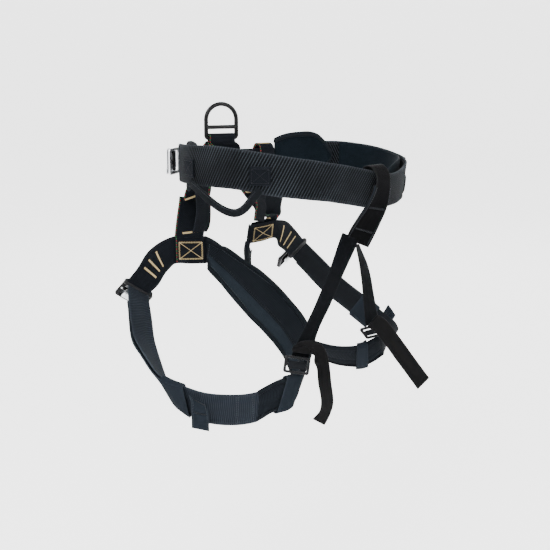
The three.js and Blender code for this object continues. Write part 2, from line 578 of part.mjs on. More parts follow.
// leg buckles, tail of each leg strap, keepers
const lerpRows = (a, b, k) => a.map((v, i) => v + (b[i] - v) * k);
for (const side of ['left', 'right']) {
  const yk = frames(ST['leg_yoke_' + side], 1)[0];
  const sx = side === 'left' ? 1 : -1;
  const out = vec(0.52 * sx, -0.56, -0.65);
  out.addScaledVector(yk.w, -out.dot(yk.w)).normalize();
  const n = yk.w.clone().cross(out).normalize();
  const o = yk.c.clone().addScaledVector(out, BUCKLE_H / 2 - 2)
    .add(vec(-10.2 * sx, -9.6, -3.0));
  add(place(frameGeo(BUCKLE_W, BUCKLE_H, BUCKLE_T, 4,
    [[-BUCKLE_W / 2 + 4.5, -BUCKLE_H / 2 + 4, BUCKLE_W / 2 - 4.5, BUCKLE_H / 2 - 4, 2]]),
  'leg_buckle_frame_' + side, DARK_STEEL(), o, yk.w, out));
  const bar = new THREE.CylinderGeometry(BAR_R, BAR_R, BUCKLE_W - 10, 10);
  add(place(bar, 'leg_buckle_bar_' + side, DARK_STEEL(), o.clone(), n, yk.w));

  // the tail doubles back outside the strap, away from the thigh
  const tail = ST['leg_strap_' + side].slice(1, TAIL_ROWS[side]);
  add(strap('leg_strap_tail_' + side, tail, WEB_T, WEB_GREY(),
    { per: 2, off: (u) => -(TAIL_OFF + 2.5 * Math.sin(Math.PI * Math.min(1, u * 1.25)) ** 2 + 2.0 * u * u) }));
  const keep = frames(ST['leg_strap_' + side], 2)
    .slice(KEEPER_ROWS[side][0], KEEPER_ROWS[side][1]);
  add(band('leg_strap_keeper_' + side, keep, 45, -TAIL_OFF - WEB_T / 2 - 2.8,
    WEB_T / 2 + 0.9, 1.5, WEB_GREY()));
  add(strap('leg_tail_end_' + side, ST['leg_tail_end_' + side], 4.6, WEB_GREY(), { per: 2 }));

  // band round the back of the pad and the ladder lock above it
  const pk = frames(ST['leg_pad_' + side], 2)
    .slice(PAD_BAND_ROWS[side][0], PAD_BAND_ROWS[side][1]);
  const wide = Math.max(...pk.map((q) => q.half)) * 2 + 1.6;
  add(band('pad_band_' + side, pk, wide, -PAD_T / 2 - 0.8, PAD_T / 2 + 0.8, 1.6, WEB_GREY()));
  const rs = frames(ST['rear_strap_' + side], 1);
  const e = rs[rs.length - 1];
  const lo = e.c.clone().addScaledVector(e.t, LOCK_H / 2 + 0.5).addScaledVector(e.n, LOCK_LIFT[side]);
  add(place(frameGeo(LOCK_W, LOCK_H, LOCK_T, 3, [
    [-LOCK_W / 2 + 4, -LOCK_H / 2 + 3.5, LOCK_W / 2 - 4, -1.8, 1.2],
    [-LOCK_W / 2 + 4, 1.8, LOCK_W / 2 - 4, LOCK_H / 2 - 3.5, 1.2]]),
  'ladder_lock_' + side, DARK_STEEL(), lo, e.w, e.t.clone().negate()));
}

// front buckle of the belt, its slide bar and the rear hanger
{
  const h = vec(0.906, 0.424, 0);
  const o = vec(134, -106, 14);
  add(place(frameGeo(38, 36, 3, 4, [[-14.5, -14, 14.5, 14, 2]]), 'belt_buckle_frame', STEEL(), o, vec(0, 0, 1), h));
  const bar = new THREE.CylinderGeometry(2.4, 2.4, 28, 10);
  add(place(bar, 'belt_buckle_bar', DARK_STEEL(), o.clone(), h, vec(0, 0, 1)));
}
add(strap('rear_hanger', ST.rear_hanger, 2.0, WEB(), { per: 2 }));

// rear straps and their free tails
for (const side of ['left', 'right']) {
  add(strap('rear_strap_' + side, ST['rear_strap_' + side], THIN_T, WEB(), { per: 2 }));
  add(strap('rear_tail_' + side, ST['rear_tail_' + side], THIN_T, WEB_GREY(), { per: 2 }));
}

export default saddle;
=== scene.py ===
import bpy
import math
import numpy as np
from mathutils import Vector, Matrix


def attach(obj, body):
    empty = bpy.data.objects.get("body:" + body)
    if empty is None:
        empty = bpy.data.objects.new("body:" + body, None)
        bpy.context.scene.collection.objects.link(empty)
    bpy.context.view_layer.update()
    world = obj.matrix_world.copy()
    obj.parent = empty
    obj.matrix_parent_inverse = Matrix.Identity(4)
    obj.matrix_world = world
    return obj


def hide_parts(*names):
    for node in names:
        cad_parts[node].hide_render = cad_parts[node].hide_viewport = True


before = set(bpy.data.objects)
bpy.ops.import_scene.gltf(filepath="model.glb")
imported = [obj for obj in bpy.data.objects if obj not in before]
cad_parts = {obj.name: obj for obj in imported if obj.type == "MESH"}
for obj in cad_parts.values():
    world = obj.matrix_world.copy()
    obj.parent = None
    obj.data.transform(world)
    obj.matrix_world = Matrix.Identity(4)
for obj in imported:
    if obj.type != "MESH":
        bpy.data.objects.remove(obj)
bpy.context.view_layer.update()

MM = 0.001

# ---------------------------------------------------------------- camera
cd = bpy.data.cameras.new("camera")
cd.lens = 65.45
cd.sensor_width = 36
cd.clip_end = 200
cam = bpy.data.objects.new("camera", cd)
bpy.context.scene.collection.objects.link(cam)
cam.location = (1.0874, 0.9811, 0.1647)
cam.rotation_euler = (Vector((0.0164, -0.0176, -0.160)) - cam.location).to_track_quat("-Z", "Y").to_euler()
bpy.context.scene.camera = cam

# stations of each strap, millimetres: centre, unit vector across, width
TABLES = {
    "waist_belt_webbing": [
        [151.0, -73.5, 15.1, 0.0, 0.0, -1.0, 53.3],
        [158.9, -62.5, 16.0, 0.0, 0.0, -1.0, 53.5],
        [169.1, -43.9, 16.9, 0.0, 0.0, -1.0, 53.3],
        [177.3, -19.4, 18.2, 0.0, 0.0, -1.0, 53.4],
        [180.0, 6.0, 18.9, 0.0, 0.0, -1.0, 54.2],
        [177.3, 31.4, 18.8, 0.0, 0.0, -1.0, 54.5],
        [166.9, 60.7, 16.8, 0.0, 0.0, -1.0, 53.7],
        [149.2, 87.6, 11.7, 0.0, 0.0, -1.0, 55.3],
        [125.0, 111.0, 6.5, 0.0, 0.0, -1.0, 53.5],
        [95.4, 129.8, 1.5, -0.018, -0.035, -0.999, 52.6],
        [61.6, 143.2, -4.8, -0.028, -0.094, -0.995, 52.8],
        [25.1, 150.6, -12.7, -0.018, -0.156, -0.988, 52.5],
        [-9.4, 151.8, -19.2, 0.008, -0.178, -0.984, 50.4],
        [-43.5, 147.7, -22.0, 0.037, -0.181, -0.983, 48.8],
        [-73.2, 139.4, -20.6, 0.055, -0.153, -0.987, 50.7],
        [-100.7, 127.0, -17.8, 0.059, -0.108, -0.992, 52.8],
        [-125.0, 111.0, -15.6, 0.054, -0.069, -0.996, 53.8],
        [-149.2, 87.6, -13.2, 0.036, -0.03, -0.999, 54.3],
        [-169.1, 55.9, -10.5, 0.0, 0.0, -1.0, 54.7],
        [-179.0, 21.3, -7.0, 0.0, 0.0, -1.0, 56.4],
        [-178.2, -14.3, -4.2, 0.0, 0.0, -1.0, 57.2],
        [-166.9, -48.7, -2.2, 0.0, 0.0, -1.0, 58.3],
        [-151.0, -73.5, -1.6, 0.0, 0.0, -1.0, 57.2],
    ],
    "waist_belt_lining": [
        [153.8, -62.3, 15.9, 0.0, 0.0, -1.0, 51.5],
        [165.1, -42.1, 16.9, 0.0, 0.0, -1.0, 51.3],
        [173.0, -18.4, 18.2, 0.0, 0.0, -1.0, 51.4],
        [175.6, 6.0, 18.9, 0.0, 0.0, -1.0, 52.2],
        [173.0, 30.4, 18.8, 0.0, 0.0, -1.0, 52.5],
        [163.0, 58.7, 16.8, 0.0, 0.0, -1.0, 51.7],
        [145.8, 84.8, 11.7, 0.0, 0.0, -1.0, 53.3],
        [122.3, 107.6, 6.5, 0.0, 0.0, -1.0, 51.5],
        [93.4, 125.9, 1.5, -0.018, -0.035, -0.999, 50.6],
        [60.3, 139.0, -4.8, -0.028, -0.094, -0.995, 50.8],
        [24.4, 145.2, -11.8, -0.018, -0.156, -0.988, 50.5],
        [-9.1, 144.7, -16.8, 0.008, -0.178, -0.984, 48.4],
        [-41.4, 137.2, -17.5, 0.037, -0.181, -0.983, 46.8],
        [-69.1, 128.0, -13.6, 0.055, -0.153, -0.987, 48.7],
        [-95.2, 117.1, -11.2, 0.059, -0.108, -0.992, 50.8],
        [-119.1, 103.5, -11.3, 0.054, -0.069, -0.996, 51.8],
        [-144.1, 83.4, -11.4, 0.036, -0.03, -0.999, 52.3],
        [-165.1, 54.1, -10.5, 0.0, 0.0, -1.0, 52.7],
        [-174.7, 20.7, -7.0, 0.0, 0.0, -1.0, 54.4],
        [-173.9, -13.6, -4.2, 0.0, 0.0, -1.0, 55.2],
        [-164.1, -44.4, -2.2, 0.0, 0.0, -1.0, 56.4],
    ],
    "hip_pad_right": [
        [-154.1, -51.5, 5.0, 0.0, 0.0, -1.0, 14.0],
        [-151.5, -55.7, 4.6, 0.0, 0.0, -1.0, 29.1],
        [-147.2, -62.0, 5.1, 0.0, 0.0, -1.0, 47.8],
        [-140.9, -70.1, 6.0, 0.0, 0.0, -1.0, 64.0],
        [-132.1, -79.6, 8.0, 0.0, 0.0, -1.0, 68.0],
        [-120.2, -90.2, 8.0, 0.0, 0.0, -1.0, 68.0],
        [-104.7, -101.2, 7.1, 0.0, 0.0, -1.0, 66.2],
        [-92.6, -108.1, 5.4, 0.0, 0.0, -1.0, 62.8],
        [-83.7, -112.4, 3.8, 0.0, 0.0, -1.0, 58.5],
    ],
    "belt_closure_strap": [
        [125.4, -104.3, 14.0, 0.0, 0.0, -1.0, 25.0],
        [106.0, -112.4, 13.5, 0.0, 0.0, -1.0, 25.0],
        [83.4, -120.3, 12.0, 0.0, 0.0, -1.0, 25.0],
        [54.4, -128.1, 10.0, 0.0, 0.0, -1.0, 25.0],
        [24.5, -133.6, 8.0, 0.0, 0.0, -1.0, 25.0],
        [0.0, -135.0, 7.0, 0.0, 0.0, -1.0, 25.0],
        [-24.5, -133.6, 6.0, 0.0, 0.0, -1.0, 25.0],
        [-54.4, -128.1, 5.0, 0.0, 0.0, -1.0, 25.0],
        [-82.6, -118.5, 4.0, 0.0, 0.0, -1.0, 25.0],
        [-108.4, -105.1, 3.0, 0.0, 0.0, -1.0, 25.0],
        [-126.6, -91.9, 3.0, 0.0, 0.0, -1.0, 25.0],
    ],
    "d_ring_strap_left": [
        [-4.8, -156.2, 31.0, -0.883, 0.469, 0.0, 44.0],
        [2.0, -158.4, 22.0, -0.921, 0.39, 0.0, 45.0],
        [20.0, -152.5, 5.0, -0.995, 0.1, 0.0, 45.0],
        [40.0, -146.5, -16.0, -1.0, 0.0, 0.0, 45.0],
        [57.0, -137.8, -30.0, -0.983, 0.152, 0.101, 45.0],
        [66.8, -130.2, -40.0, -0.948, 0.302, 0.101, 45.0],
        [70.3, -129.8, -50.5, -0.948, 0.302, 0.101, 45.0],
    ],
    "riser_left": [
        [72.0, -136.4, -48.7, -0.945, 0.292, -0.144, 45.0],
        [73.0, -136.8, -60.1, -0.931, 0.321, -0.172, 45.0],
        [75.0, -137.6, -77.5, -0.908, 0.4, -0.121, 45.0],
        [82.5, -134.0, -105.4, -0.855, 0.517, -0.026, 45.0],
    ],
    "riser_tunnel_left": [
        [52.0, -138.5, 12.0, -0.975, -0.221, 0.0, 36.0],
        [53.0, -136.0, 21.0, -0.968, -0.252, 0.0, 36.0],
        [54.5, -128.0, 27.5, -0.954, -0.301, 0.0, 36.0],
        [57.0, -119.5, 22.0, -0.94, -0.34, 0.0, 36.0],
        [60.0, -117.0, 5.0, -0.94, -0.34, 0.0, 36.0],
        [63.0, -117.0, -15.0, -0.954, -0.301, 0.0, 36.0],
        [70.2, -117.2, -35.7, -0.959, -0.211, -0.187, 36.0],
        [70.7, -114.4, -55.0, -0.965, -0.186, -0.185, 36.0],
        [68.6, -116.6, -73.7, -0.97, -0.159, -0.181, 36.0],
        [72.7, -115.8, -89.9, -0.989, -0.119, -0.092, 36.0],
        [75.4, -118.7, -99.1, -0.981, -0.168, -0.098, 36.0],
    ],
    "leg_yoke_left": [
        [178.7, -141.4, -171.2, 0.799, -0.212, 0.563, 42.0],
        [159.2, -141.4, -157.8, 0.645, -0.305, 0.7, 42.0],
        [136.6, -144.5, -138.3, 0.363, -0.459, 0.811, 42.0],
        [104.6, -144.5, -126.4, -0.151, -0.19, 0.97, 42.0],
        [82.6, -135.1, -128.0, -0.151, -0.19, 0.97, 42.0],
        [60.6, -125.6, -129.6, -0.151, -0.19, 0.97, 42.0],
        [56.0, -123.6, -129.9, -0.151, -0.19, 0.97, 42.0],
    ],
    "leg_pad_left": [
        [52.4, -112.9, -138.0, -0.476, 0.235, 0.848, 37.1],
        [48.5, -107.1, -143.2, -0.576, 0.383, 0.722, 45.6],
        [39.2, -85.2, -161.1, -0.609, 0.438, 0.661, 51.9],
        [31.9, -62.5, -179.1, -0.581, 0.39, 0.715, 60.3],
        [26.6, -37.1, -198.5, -0.568, 0.371, 0.735, 64.4],
        [23.7, -9.7, -217.6, -0.588, 0.402, 0.702, 62.7],
        [25.5, 18.3, -236.0, -0.607, 0.435, 0.665, 60.0],
        [35.5, 46.2, -253.0, -0.403, 0.608, 0.684, 57.0],
        [53.2, 69.8, -263.8, -0.442, 0.375, 0.815, 55.0],
        [73.0, 87.4, -277.0, -0.194, 0.284, 0.939, 50.0],
        [96.1, 94.9, -293.2, -0.355, 0.077, 0.932, 49.0],
        [114.3, 92.7, -295.7, -0.349, 0.071, 0.934, 48.0],
        [130.5, 87.8, -297.1, -0.332, 0.05, 0.942, 48.0],
        [154.0, 77.9, -307.1, -0.183, -0.121, 0.976, 42.0],
    ],
    "leg_strap_left": [
        [173.5, -146.1, -174.4, -0.849, 0.05, -0.526, 42.0],
        [190.1, -126.5, -185.5, -0.981, -0.087, -0.172, 42.0],
        [204.3, -104.1, -208.7, -0.981, -0.09, -0.17, 42.0],
        [216.5, -82.7, -231.7, -0.933, -0.066, -0.353, 42.0],
        [225.6, -55.4, -253.3, -0.798, -0.026, -0.602, 42.0],
        [230.9, -34.9, -269.4, -0.671, 0.003, -0.741, 42.0],
        [231.6, -21.9, -279.3, -0.573, 0.021, -0.819, 42.0],
        [228.8, -6.8, -288.7, -0.408, 0.049, -0.912, 42.0],
        [220.2, 9.9, -297.7, -0.197, 0.079, -0.977, 42.0],
        [208.1, 34.7, -306.3, 0.07, 0.11, -0.991, 42.0],
        [181.2, 61.6, -309.6, 0.18, 0.12, -0.976, 42.0],
        [156.3, 77.3, -308.1, 0.18, 0.12, -0.976, 42.0],
    ],
    "rear_strap_left": [
        [11.2, 119.0, -90.1, -0.565, 0.73, -0.385, 25.0],
        [23.8, 108.4, -133.3, -0.884, 0.251, -0.393, 25.0],
        [47.7, 105.4, -175.0, -0.913, 0.22, -0.344, 25.0],
        [70.7, 101.6, -211.6, -0.914, 0.214, -0.344, 25.0],
        [91.4, 99.8, -246.6, -0.653, 0.745, -0.138, 25.0],
    ],
    "rear_strap_right": [
        [-9.3, 119.0, -102.9, 0.632, 0.744, 0.215, 25.0],
        [-39.3, 108.1, -141.1, 0.351, 0.884, 0.31, 25.0],
        [-65.6, 94.1, -177.7, 0.213, 0.931, 0.297, 25.0],
        [-88.2, 83.3, -217.8, 0.048, 0.96, 0.277, 25.0],
        [-102.6, 76.7, -242.3, -0.195, 0.913, 0.359, 25.0],
    ],
    "rear_tail_left": [
        [94.9, 105.6, -238.8, -0.655, 0.744, -0.129, 25.0],
        [97.0, 107.3, -228.0, -0.699, 0.693, 0.175, 25.0],
        [87.8, 118.5, -232.0, -0.065, 0.371, -0.926, 25.0],
        [81.8, 123.4, -236.6, 0.408, -0.145, -0.901, 25.0],
        [75.3, 128.0, -257.2, -0.023, -0.929, -0.371, 25.0],
        [75.9, 132.1, -280.8, -0.02, -0.965, -0.262, 25.0],
        [75.2, 136.3, -305.5, -0.104, -0.97, -0.22, 25.0],
        [77.7, 134.6, -322.1, -0.214, -0.96, -0.18, 25.0],
        [83.9, 128.2, -336.8, -0.159, -0.986, 0.054, 25.0],
    ],
    "rear_tail_right": [
        [-82.7, 90.8, -231.0, 0.558, -0.355, -0.75, 25.0],
        [-91.8, 98.2, -237.7, 0.553, -0.347, -0.758, 25.0],
        [-104.8, 108.0, -257.4, 0.58, -0.389, -0.715, 25.0],
        [-118.2, 126.4, -288.4, 0.621, -0.459, -0.635, 25.0],
        [-133.7, 153.1, -328.6, 0.594, -0.413, -0.69, 25.0],
    ],
    "d_ring_strap_right": [
        [-7.0, -143.2, 24.5, -0.933, 0.361, 0.0, 44.0],
        [-14.0, -142.0, 14.0, -0.995, 0.1, 0.0, 45.0],
        [-30.0, -142.5, -4.0, -0.994, 0.1, 0.05, 45.0],
        [-47.0, -143.0, -22.0, -0.974, 0.201, 0.1, 45.0],
        [-62.0, -141.5, -46.8, -0.959, 0.282, -0.003, 45.0],
        [-65.0, -133.2, -56.9, -0.959, 0.282, 0.034, 45.0],
    ],
    "riser_right": [
        [-84.0, -113.4, -58.6, -0.986, -0.037, -0.165, 45.0],
        [-84.0, -117.9, -75.3, -0.986, -0.033, -0.165, 45.0],
        [-84.0, -122.3, -91.3, -0.991, 0.064, -0.114, 45.0],
    ],
    "riser_tunnel_right": [
        [-70.0, -133.5, 4.0, -0.924, 0.382, 0.0, 25.0],
        [-70.0, -132.5, 14.0, -0.924, 0.382, 0.0, 25.0],
        [-70.0, -126.0, 24.5, -0.924, 0.382, 0.0, 25.0],
        [-70.0, -117.0, 20.0, -0.924, 0.382, 0.0, 25.0],
        [-69.0, -114.0, 5.0, -0.924, 0.382, 0.0, 26.0],
        [-66.0, -113.0, -14.0, -0.94, 0.34, 0.0, 30.0],
        [-55.5, -108.5, -33.0, -0.979, 0.206, 0.0, 30.0],
        [-46.0, -108.2, -57.4, -0.958, -0.217, -0.188, 32.0],
        [-46.0, -106.1, -71.5, -0.958, -0.216, -0.188, 32.0],
        [-48.0, -110.3, -85.0, -0.959, -0.214, -0.188, 32.0],
        [-52.0, -116.4, -97.5, -0.959, -0.211, -0.187, 32.0],
    ],
    "leg_yoke_right": [
        [-175.0, -144.3, -161.7, -0.875, -0.031, 0.483, 42.0],
        [-138.0, -134.0, -138.0, -0.652, 0.102, 0.752, 42.0],
        [-105.3, -126.4, -118.8, 0.334, 0.459, 0.823, 42.0],
        [-84.0, -137.1, -121.6, 0.334, 0.459, 0.823, 42.0],
        [-62.7, -147.7, -124.3, 0.334, 0.459, 0.823, 42.0],
        [-60.0, -149.0, -124.6, 0.334, 0.459, 0.823, 42.0],
    ],
    "leg_pad_right": [
        [-60.0, -148.2, -143.5, 0.64, 0.497, 0.586, 40.0],
        [-53.0, -143.7, -158.5, 0.64, 0.497, 0.586, 46.0],
        [-44.0, -129.4, -181.7, 0.64, 0.497, 0.586, 56.0],
        [-37.0, -102.5, -214.4, 0.64, 0.497, 0.586, 63.0],
        [-35.0, -65.5, -245.5, 0.602, 0.501, 0.622, 63.0],
        [-40.0, -31.5, -269.5, 0.561, 0.471, 0.681, 60.0],
        [-52.0, -11.6, -282.8, 0.649, 0.49, 0.582, 56.0],
        [-64.0, 4.1, -290.9, 0.616, 0.41, 0.673, 52.0],
        [-78.0, 23.2, -297.8, 0.52, 0.399, 0.756, 50.0],
        [-93.0, 41.3, -299.8, 0.464, 0.345, 0.816, 49.0],
        [-104.0, 56.5, -297.5, 0.353, 0.329, 0.876, 48.0],
        [-115.0, 66.5, -290.5, 0.455, 0.191, 0.87, 46.0],
        [-127.0, 74.8, -282.5, 0.534, 0.14, 0.834, 42.0],
    ],
    "leg_strap_right": [
        [-181.0, -147.3, -164.7, -0.873, -0.027, 0.487, 42.0],
        [-189.0, -141.6, -175.7, -0.866, 0.039, 0.499, 42.0],
        [-198.0, -117.1, -198.3, -0.867, 0.035, 0.497, 42.0],
        [-208.0, -100.5, -216.9, -0.867, 0.035, 0.497, 42.0],
        [-218.0, -78.2, -235.4, -0.845, -0.002, 0.536, 42.0],
        [-228.0, -52.8, -254.2, -0.847, -0.006, 0.532, 42.0],
        [-233.0, -21.7, -273.5, -0.879, -0.042, 0.475, 42.0],
        [-228.0, 7.9, -284.6, -0.9, 0.148, 0.411, 42.0],
        [-210.0, 27.7, -289.3, -0.744, 0.387, 0.545, 42.0],
        [-182.0, 50.6, -290.0, -0.143, 0.607, 0.782, 42.0],
        [-152.0, 66.9, -287.0, 0.23, 0.422, 0.877, 42.0],
        [-130.0, 73.0, -283.5, 0.525, 0.157, 0.837, 42.0],
    ],
    "gear_loop_left": [
        [183.9, -17.0, -5.2, 0.082, 0.439, 0.895, 11.0],
        [185.1, -12.7, -7.4, 0.055, 0.361, 0.931, 11.0],
        [187.9, 0.0, -12.0, 0.019, 0.399, 0.917, 11.0],
        [189.2, 20.6, -22.0, -0.051, 0.443, 0.895, 11.0],
        [187.9, 38.3, -31.0, -0.103, 0.406, 0.908, 11.0],
        [184.3, 53.2, -37.1, -0.091, 0.241, 0.966, 11.0],
        [179.3, 64.8, -38.4, 0.078, -0.161, 0.984, 11.0],
        [173.4, 73.8, -32.9, 0.317, -0.549, 0.774, 11.0],
        [167.1, 80.3, -22.4, 0.424, -0.643, 0.637, 11.0],
        [160.7, 85.9, -12.1, 0.481, -0.649, 0.59, 11.0],
        [158.0, 87.0, -7.7, 0.531, -0.693, 0.488, 11.0],
    ],
    "gear_loop_right": [
        [-186.1, -17.0, -12.7, -0.082, 0.439, 0.895, 11.0],
        [-187.3, -12.7, -14.9, -0.055, 0.361, 0.931, 11.0],
        [-190.1, 0.0, -19.5, -0.019, 0.399, 0.917, 11.0],
        [-191.4, 20.6, -29.5, 0.051, 0.443, 0.895, 11.0],
        [-190.1, 38.3, -38.5, 0.103, 0.406, 0.908, 11.0],
        [-186.5, 53.2, -44.6, 0.091, 0.241, 0.966, 11.0],
        [-181.5, 64.8, -45.9, -0.078, -0.161, 0.984, 11.0],
        [-175.6, 73.8, -40.4, -0.317, -0.549, 0.774, 11.0],
        [-169.3, 80.3, -29.9, -0.424, -0.643, 0.637, 11.0],
        [-162.9, 85.9, -19.6, -0.481, -0.649, 0.59, 11.0],
        [-160.2, 87.0, -15.2, -0.531, -0.693, 0.488, 11.0],
    ],
    "gear_tab_front_left": [
        [175.1, -37.8, 13.5, 0.0, 0.0, -1.0, 25.0],
        [178.0, -29.4, 13.5, 0.0, 0.0, -1.0, 25.0],
        [180.2, -20.9, 13.5, 0.0, 0.0, -1.0, 25.0],
        [181.8, -12.3, 13.5, 0.0, 0.0, -1.0, 25.0],
    ],
    "gear_tab_rear_left": [
        [163.1, 74.0, 9.2, 0.0, 0.0, -1.0, 24.5],
        [158.0, 81.6, 9.2, 0.0, 0.0, -1.0, 24.5],
        [152.3, 89.0, 9.2, 0.0, 0.0, -1.0, 24.5],
        [146.1, 96.0, 9.2, 0.0, 0.0, -1.0, 24.5],
    ],
    "gear_tab_front_right": [
        [-175.9, -38.1, 8.5, -0.0, 0.0, -1.0, 25.0],
        [-178.7, -29.6, 8.5, -0.0, 0.0, -1.0, 25.0],
        [-181.0, -21.1, 8.5, -0.0, 0.0, -1.0, 25.0],
        [-182.6, -12.4, 8.5, -0.0, 0.0, -1.0, 25.0],
    ],
    "gear_tab_rear_right": [
        [-164.6, 74.9, -0.2, -0.0, 0.0, -1.0, 24.5],
        [-159.4, 82.7, -0.2, -0.0, 0.0, -1.0, 24.5],
        [-153.7, 90.1, -0.2, -0.0, 0.0, -1.0, 24.5],
        [-147.4, 97.3, -0.2, -0.0, 0.0, -1.0, 24.5],
    ],
    "leg_tail_end_left": [
        [221.1, 28.2, -292.3, -0.525, 0.714, -0.463, 24.0],
        [223.3, 35.3, -298.5, -0.539, 0.72, -0.437, 24.0],
        [226.2, 40.2, -309.3, -0.638, 0.746, -0.191, 24.0],
        [229.6, 44.4, -328.6, -0.638, 0.746, -0.191, 24.0],
    ],
    "leg_tail_end_right": [
        [-257.4, -15.3, -266.5, -0.491, 0.255, 0.833, 24.0],
        [-257.2, -6.9, -274.7, -0.521, 0.298, 0.8, 24.0],
        [-255.5, 1.0, -281.3, -0.51, 0.283, 0.812, 24.0],
    ],
    "rear_hanger": [
        [-2.0, 133.5, -38.0, 0.999, 0.05, 0.0, 30.0],
        [-2.0, 134.0, -15.0, 1.0, 0.02, 0.0, 30.0],
        [-3.0, 135.5, 2.0, 1.0, 0.0, 0.0, 30.0],
        [-4.0, 142.0, 13.0, 1.0, 0.0, 0.0, 30.0],
        [-5.0, 154.0, 14.0, 1.0, 0.0, 0.0, 30.0],
        [-6.0, 163.5, 1.0, 0.999, 0.0, 0.05, 30.0],
        [-4.0, 163.5, -20.0, 0.983, -0.101, 0.152, 30.0],
        [0.0, 158.0, -42.0, 0.896, -0.398, 0.199, 30.0],
        [3.0, 147.0, -62.0, 0.756, -0.605, 0.252, 32.0],
        [4.0, 136.0, -80.0, 0.596, -0.745, 0.298, 34.0],
        [3.0, 127.0, -94.0, 0.497, -0.795, 0.348, 34.0],
    ],
}

WEB_T, THIN_T, BELT_T, LINING_T, PAD_T, HIP_T = 2.2, 1.8, 2.8, 3.4, 8.0, 7.0

def V3(*a):
    return np.array(a, float)

def unit(a):
    a = np.array(a, float)
    return a / np.linalg.norm(a)

# ---------------------------------------------------------------- frames along a strap
class F:
    """Evenly subdivided frames of a strap: c, t, w, n, half, s (arc length), all millimetres."""
    def __init__(self, st, per=6):
        st = np.array(st, float)
        n = len(st)
        ext0 = st[0].copy(); ext0[:3] = 2 * st[0][:3] - st[1][:3]
        ext1 = st[-1].copy(); ext1[:3] = 2 * st[-1][:3] - st[-2][:3]
        P = np.vstack([ext0, st, ext1])
        rows = []
        for i in range(1, n):
            a, b, c, d = P[i - 1], P[i], P[i + 1], P[i + 2]
            for j in range(per):
                t = j / per
                rows.append(0.5 * (2 * b + (c - a) * t + (2 * a - 5 * b + 4 * c - d) * t * t + (3 * b - a - 3 * c + d) * t ** 3))
        rows.append(st[-1])
        R = np.array(rows)
        self.c = R[:, :3]
        self.w = R[:, 3:6] / np.linalg.norm(R[:, 3:6], axis=1)[:, None]
        self.half = R[:, 6] / 2
        self.finish()

    def finish(self):
        c = self.c
        t = np.zeros_like(c)
        t[1:-1] = c[2:] - c[:-2]; t[0] = c[1] - c[0]; t[-1] = c[-1] - c[-2]
        self.t = t / np.linalg.norm(t, axis=1)[:, None]
        n = np.cross(self.t, self.w)
        self.n = n / np.linalg.norm(n, axis=1)[:, None]
        self.s = np.concatenate([[0], np.cumsum(np.linalg.norm(np.diff(c, axis=0), axis=1))])

    def cut(self, a, b):
        q = object.__new__(F)
        q.c, q.w, q.half = self.c[a:b].copy(), self.w[a:b].copy(), self.half[a:b].copy()
        q.finish()
        return q

    def at(self, s, v=0.0, h=0.0):
        """Point at arc length s, v across and h along the normal."""
        s = min(max(s, 0), self.s[-1])
        i = int(np.searchsorted(self.s, s) - 1)
        i = min(max(i, 0), len(self.s) - 2)
        k = (s - self.s[i]) / max(self.s[i + 1] - self.s[i], 1e-9)
        L = lambda A: A[i] + (A[i + 1] - A[i]) * k
        return L(self.c) + L(self.w) * v + L(self.n) * h

def wav(s, seed, amp=1.0):
    return amp * (0.6 * math.sin(s * 0.061 + seed * 1.7) + 0.4 * math.sin(s * 0.137 + seed * 2.9 + 1.0))

COL = bpy.context.scene.collection

def new_mesh(name, verts, faces, mat, uv=None, edge=None, smooth=True, mats=None, mat_index=None):
    me = bpy.data.meshes.new(name)
    me.from_pydata([tuple(float(x) * MM for x in v) for v in verts], [], [tuple(f) for f in faces])
    if uv is not None:
        L = me.uv_layers.new(name="UVMap")
        E = me.uv_layers.new(name="edge") if edge is not None else None
        li = 0
        data = np.zeros((len(me.loops), 2), np.float32)
        ed = np.zeros((len(me.loops), 2), np.float32)
        idx = np.zeros(len(me.loops), np.int32)
        me.loops.foreach_get("vertex_index", idx)
        data[:] = np.array(uv, np.float32)[idx]
        L.data.foreach_set("uv", data.ravel())
        if edge is not None:
            ed[:] = np.array(edge, np.float32)[idx]
            E.data.foreach_set("uv", ed.ravel())
    for m in (mats or [mat]):
        me.materials.append(m)
    if mat_index is not None:
        me.polygons.foreach_set("material_index", np.array(mat_index, np.int32))
    if smooth:
        me.polygons.foreach_set("use_smooth", [True] * len(me.polygons))
    me.validate()
    me.update()
    o = bpy.data.objects.new(name, me)
    COL.objects.link(o)
    return o

def section_web(k=9, r=0.5):
    """Across -1..1, through -0.5..0.5: flat faces and rounded selvedges."""
    pts = []
    for i in range(k + 1):
        pts.append((-0.975 + 1.95 * i / k, -0.5))
    for a in (-50, 0, 50):
        pts.append(("e", 1, a))
    for i in range(k + 1):
        pts.append((0.975 - 1.95 * i / k, 0.5))
    for a in (50, 0, -50):
        pts.append(("e", -1, a))
    return pts

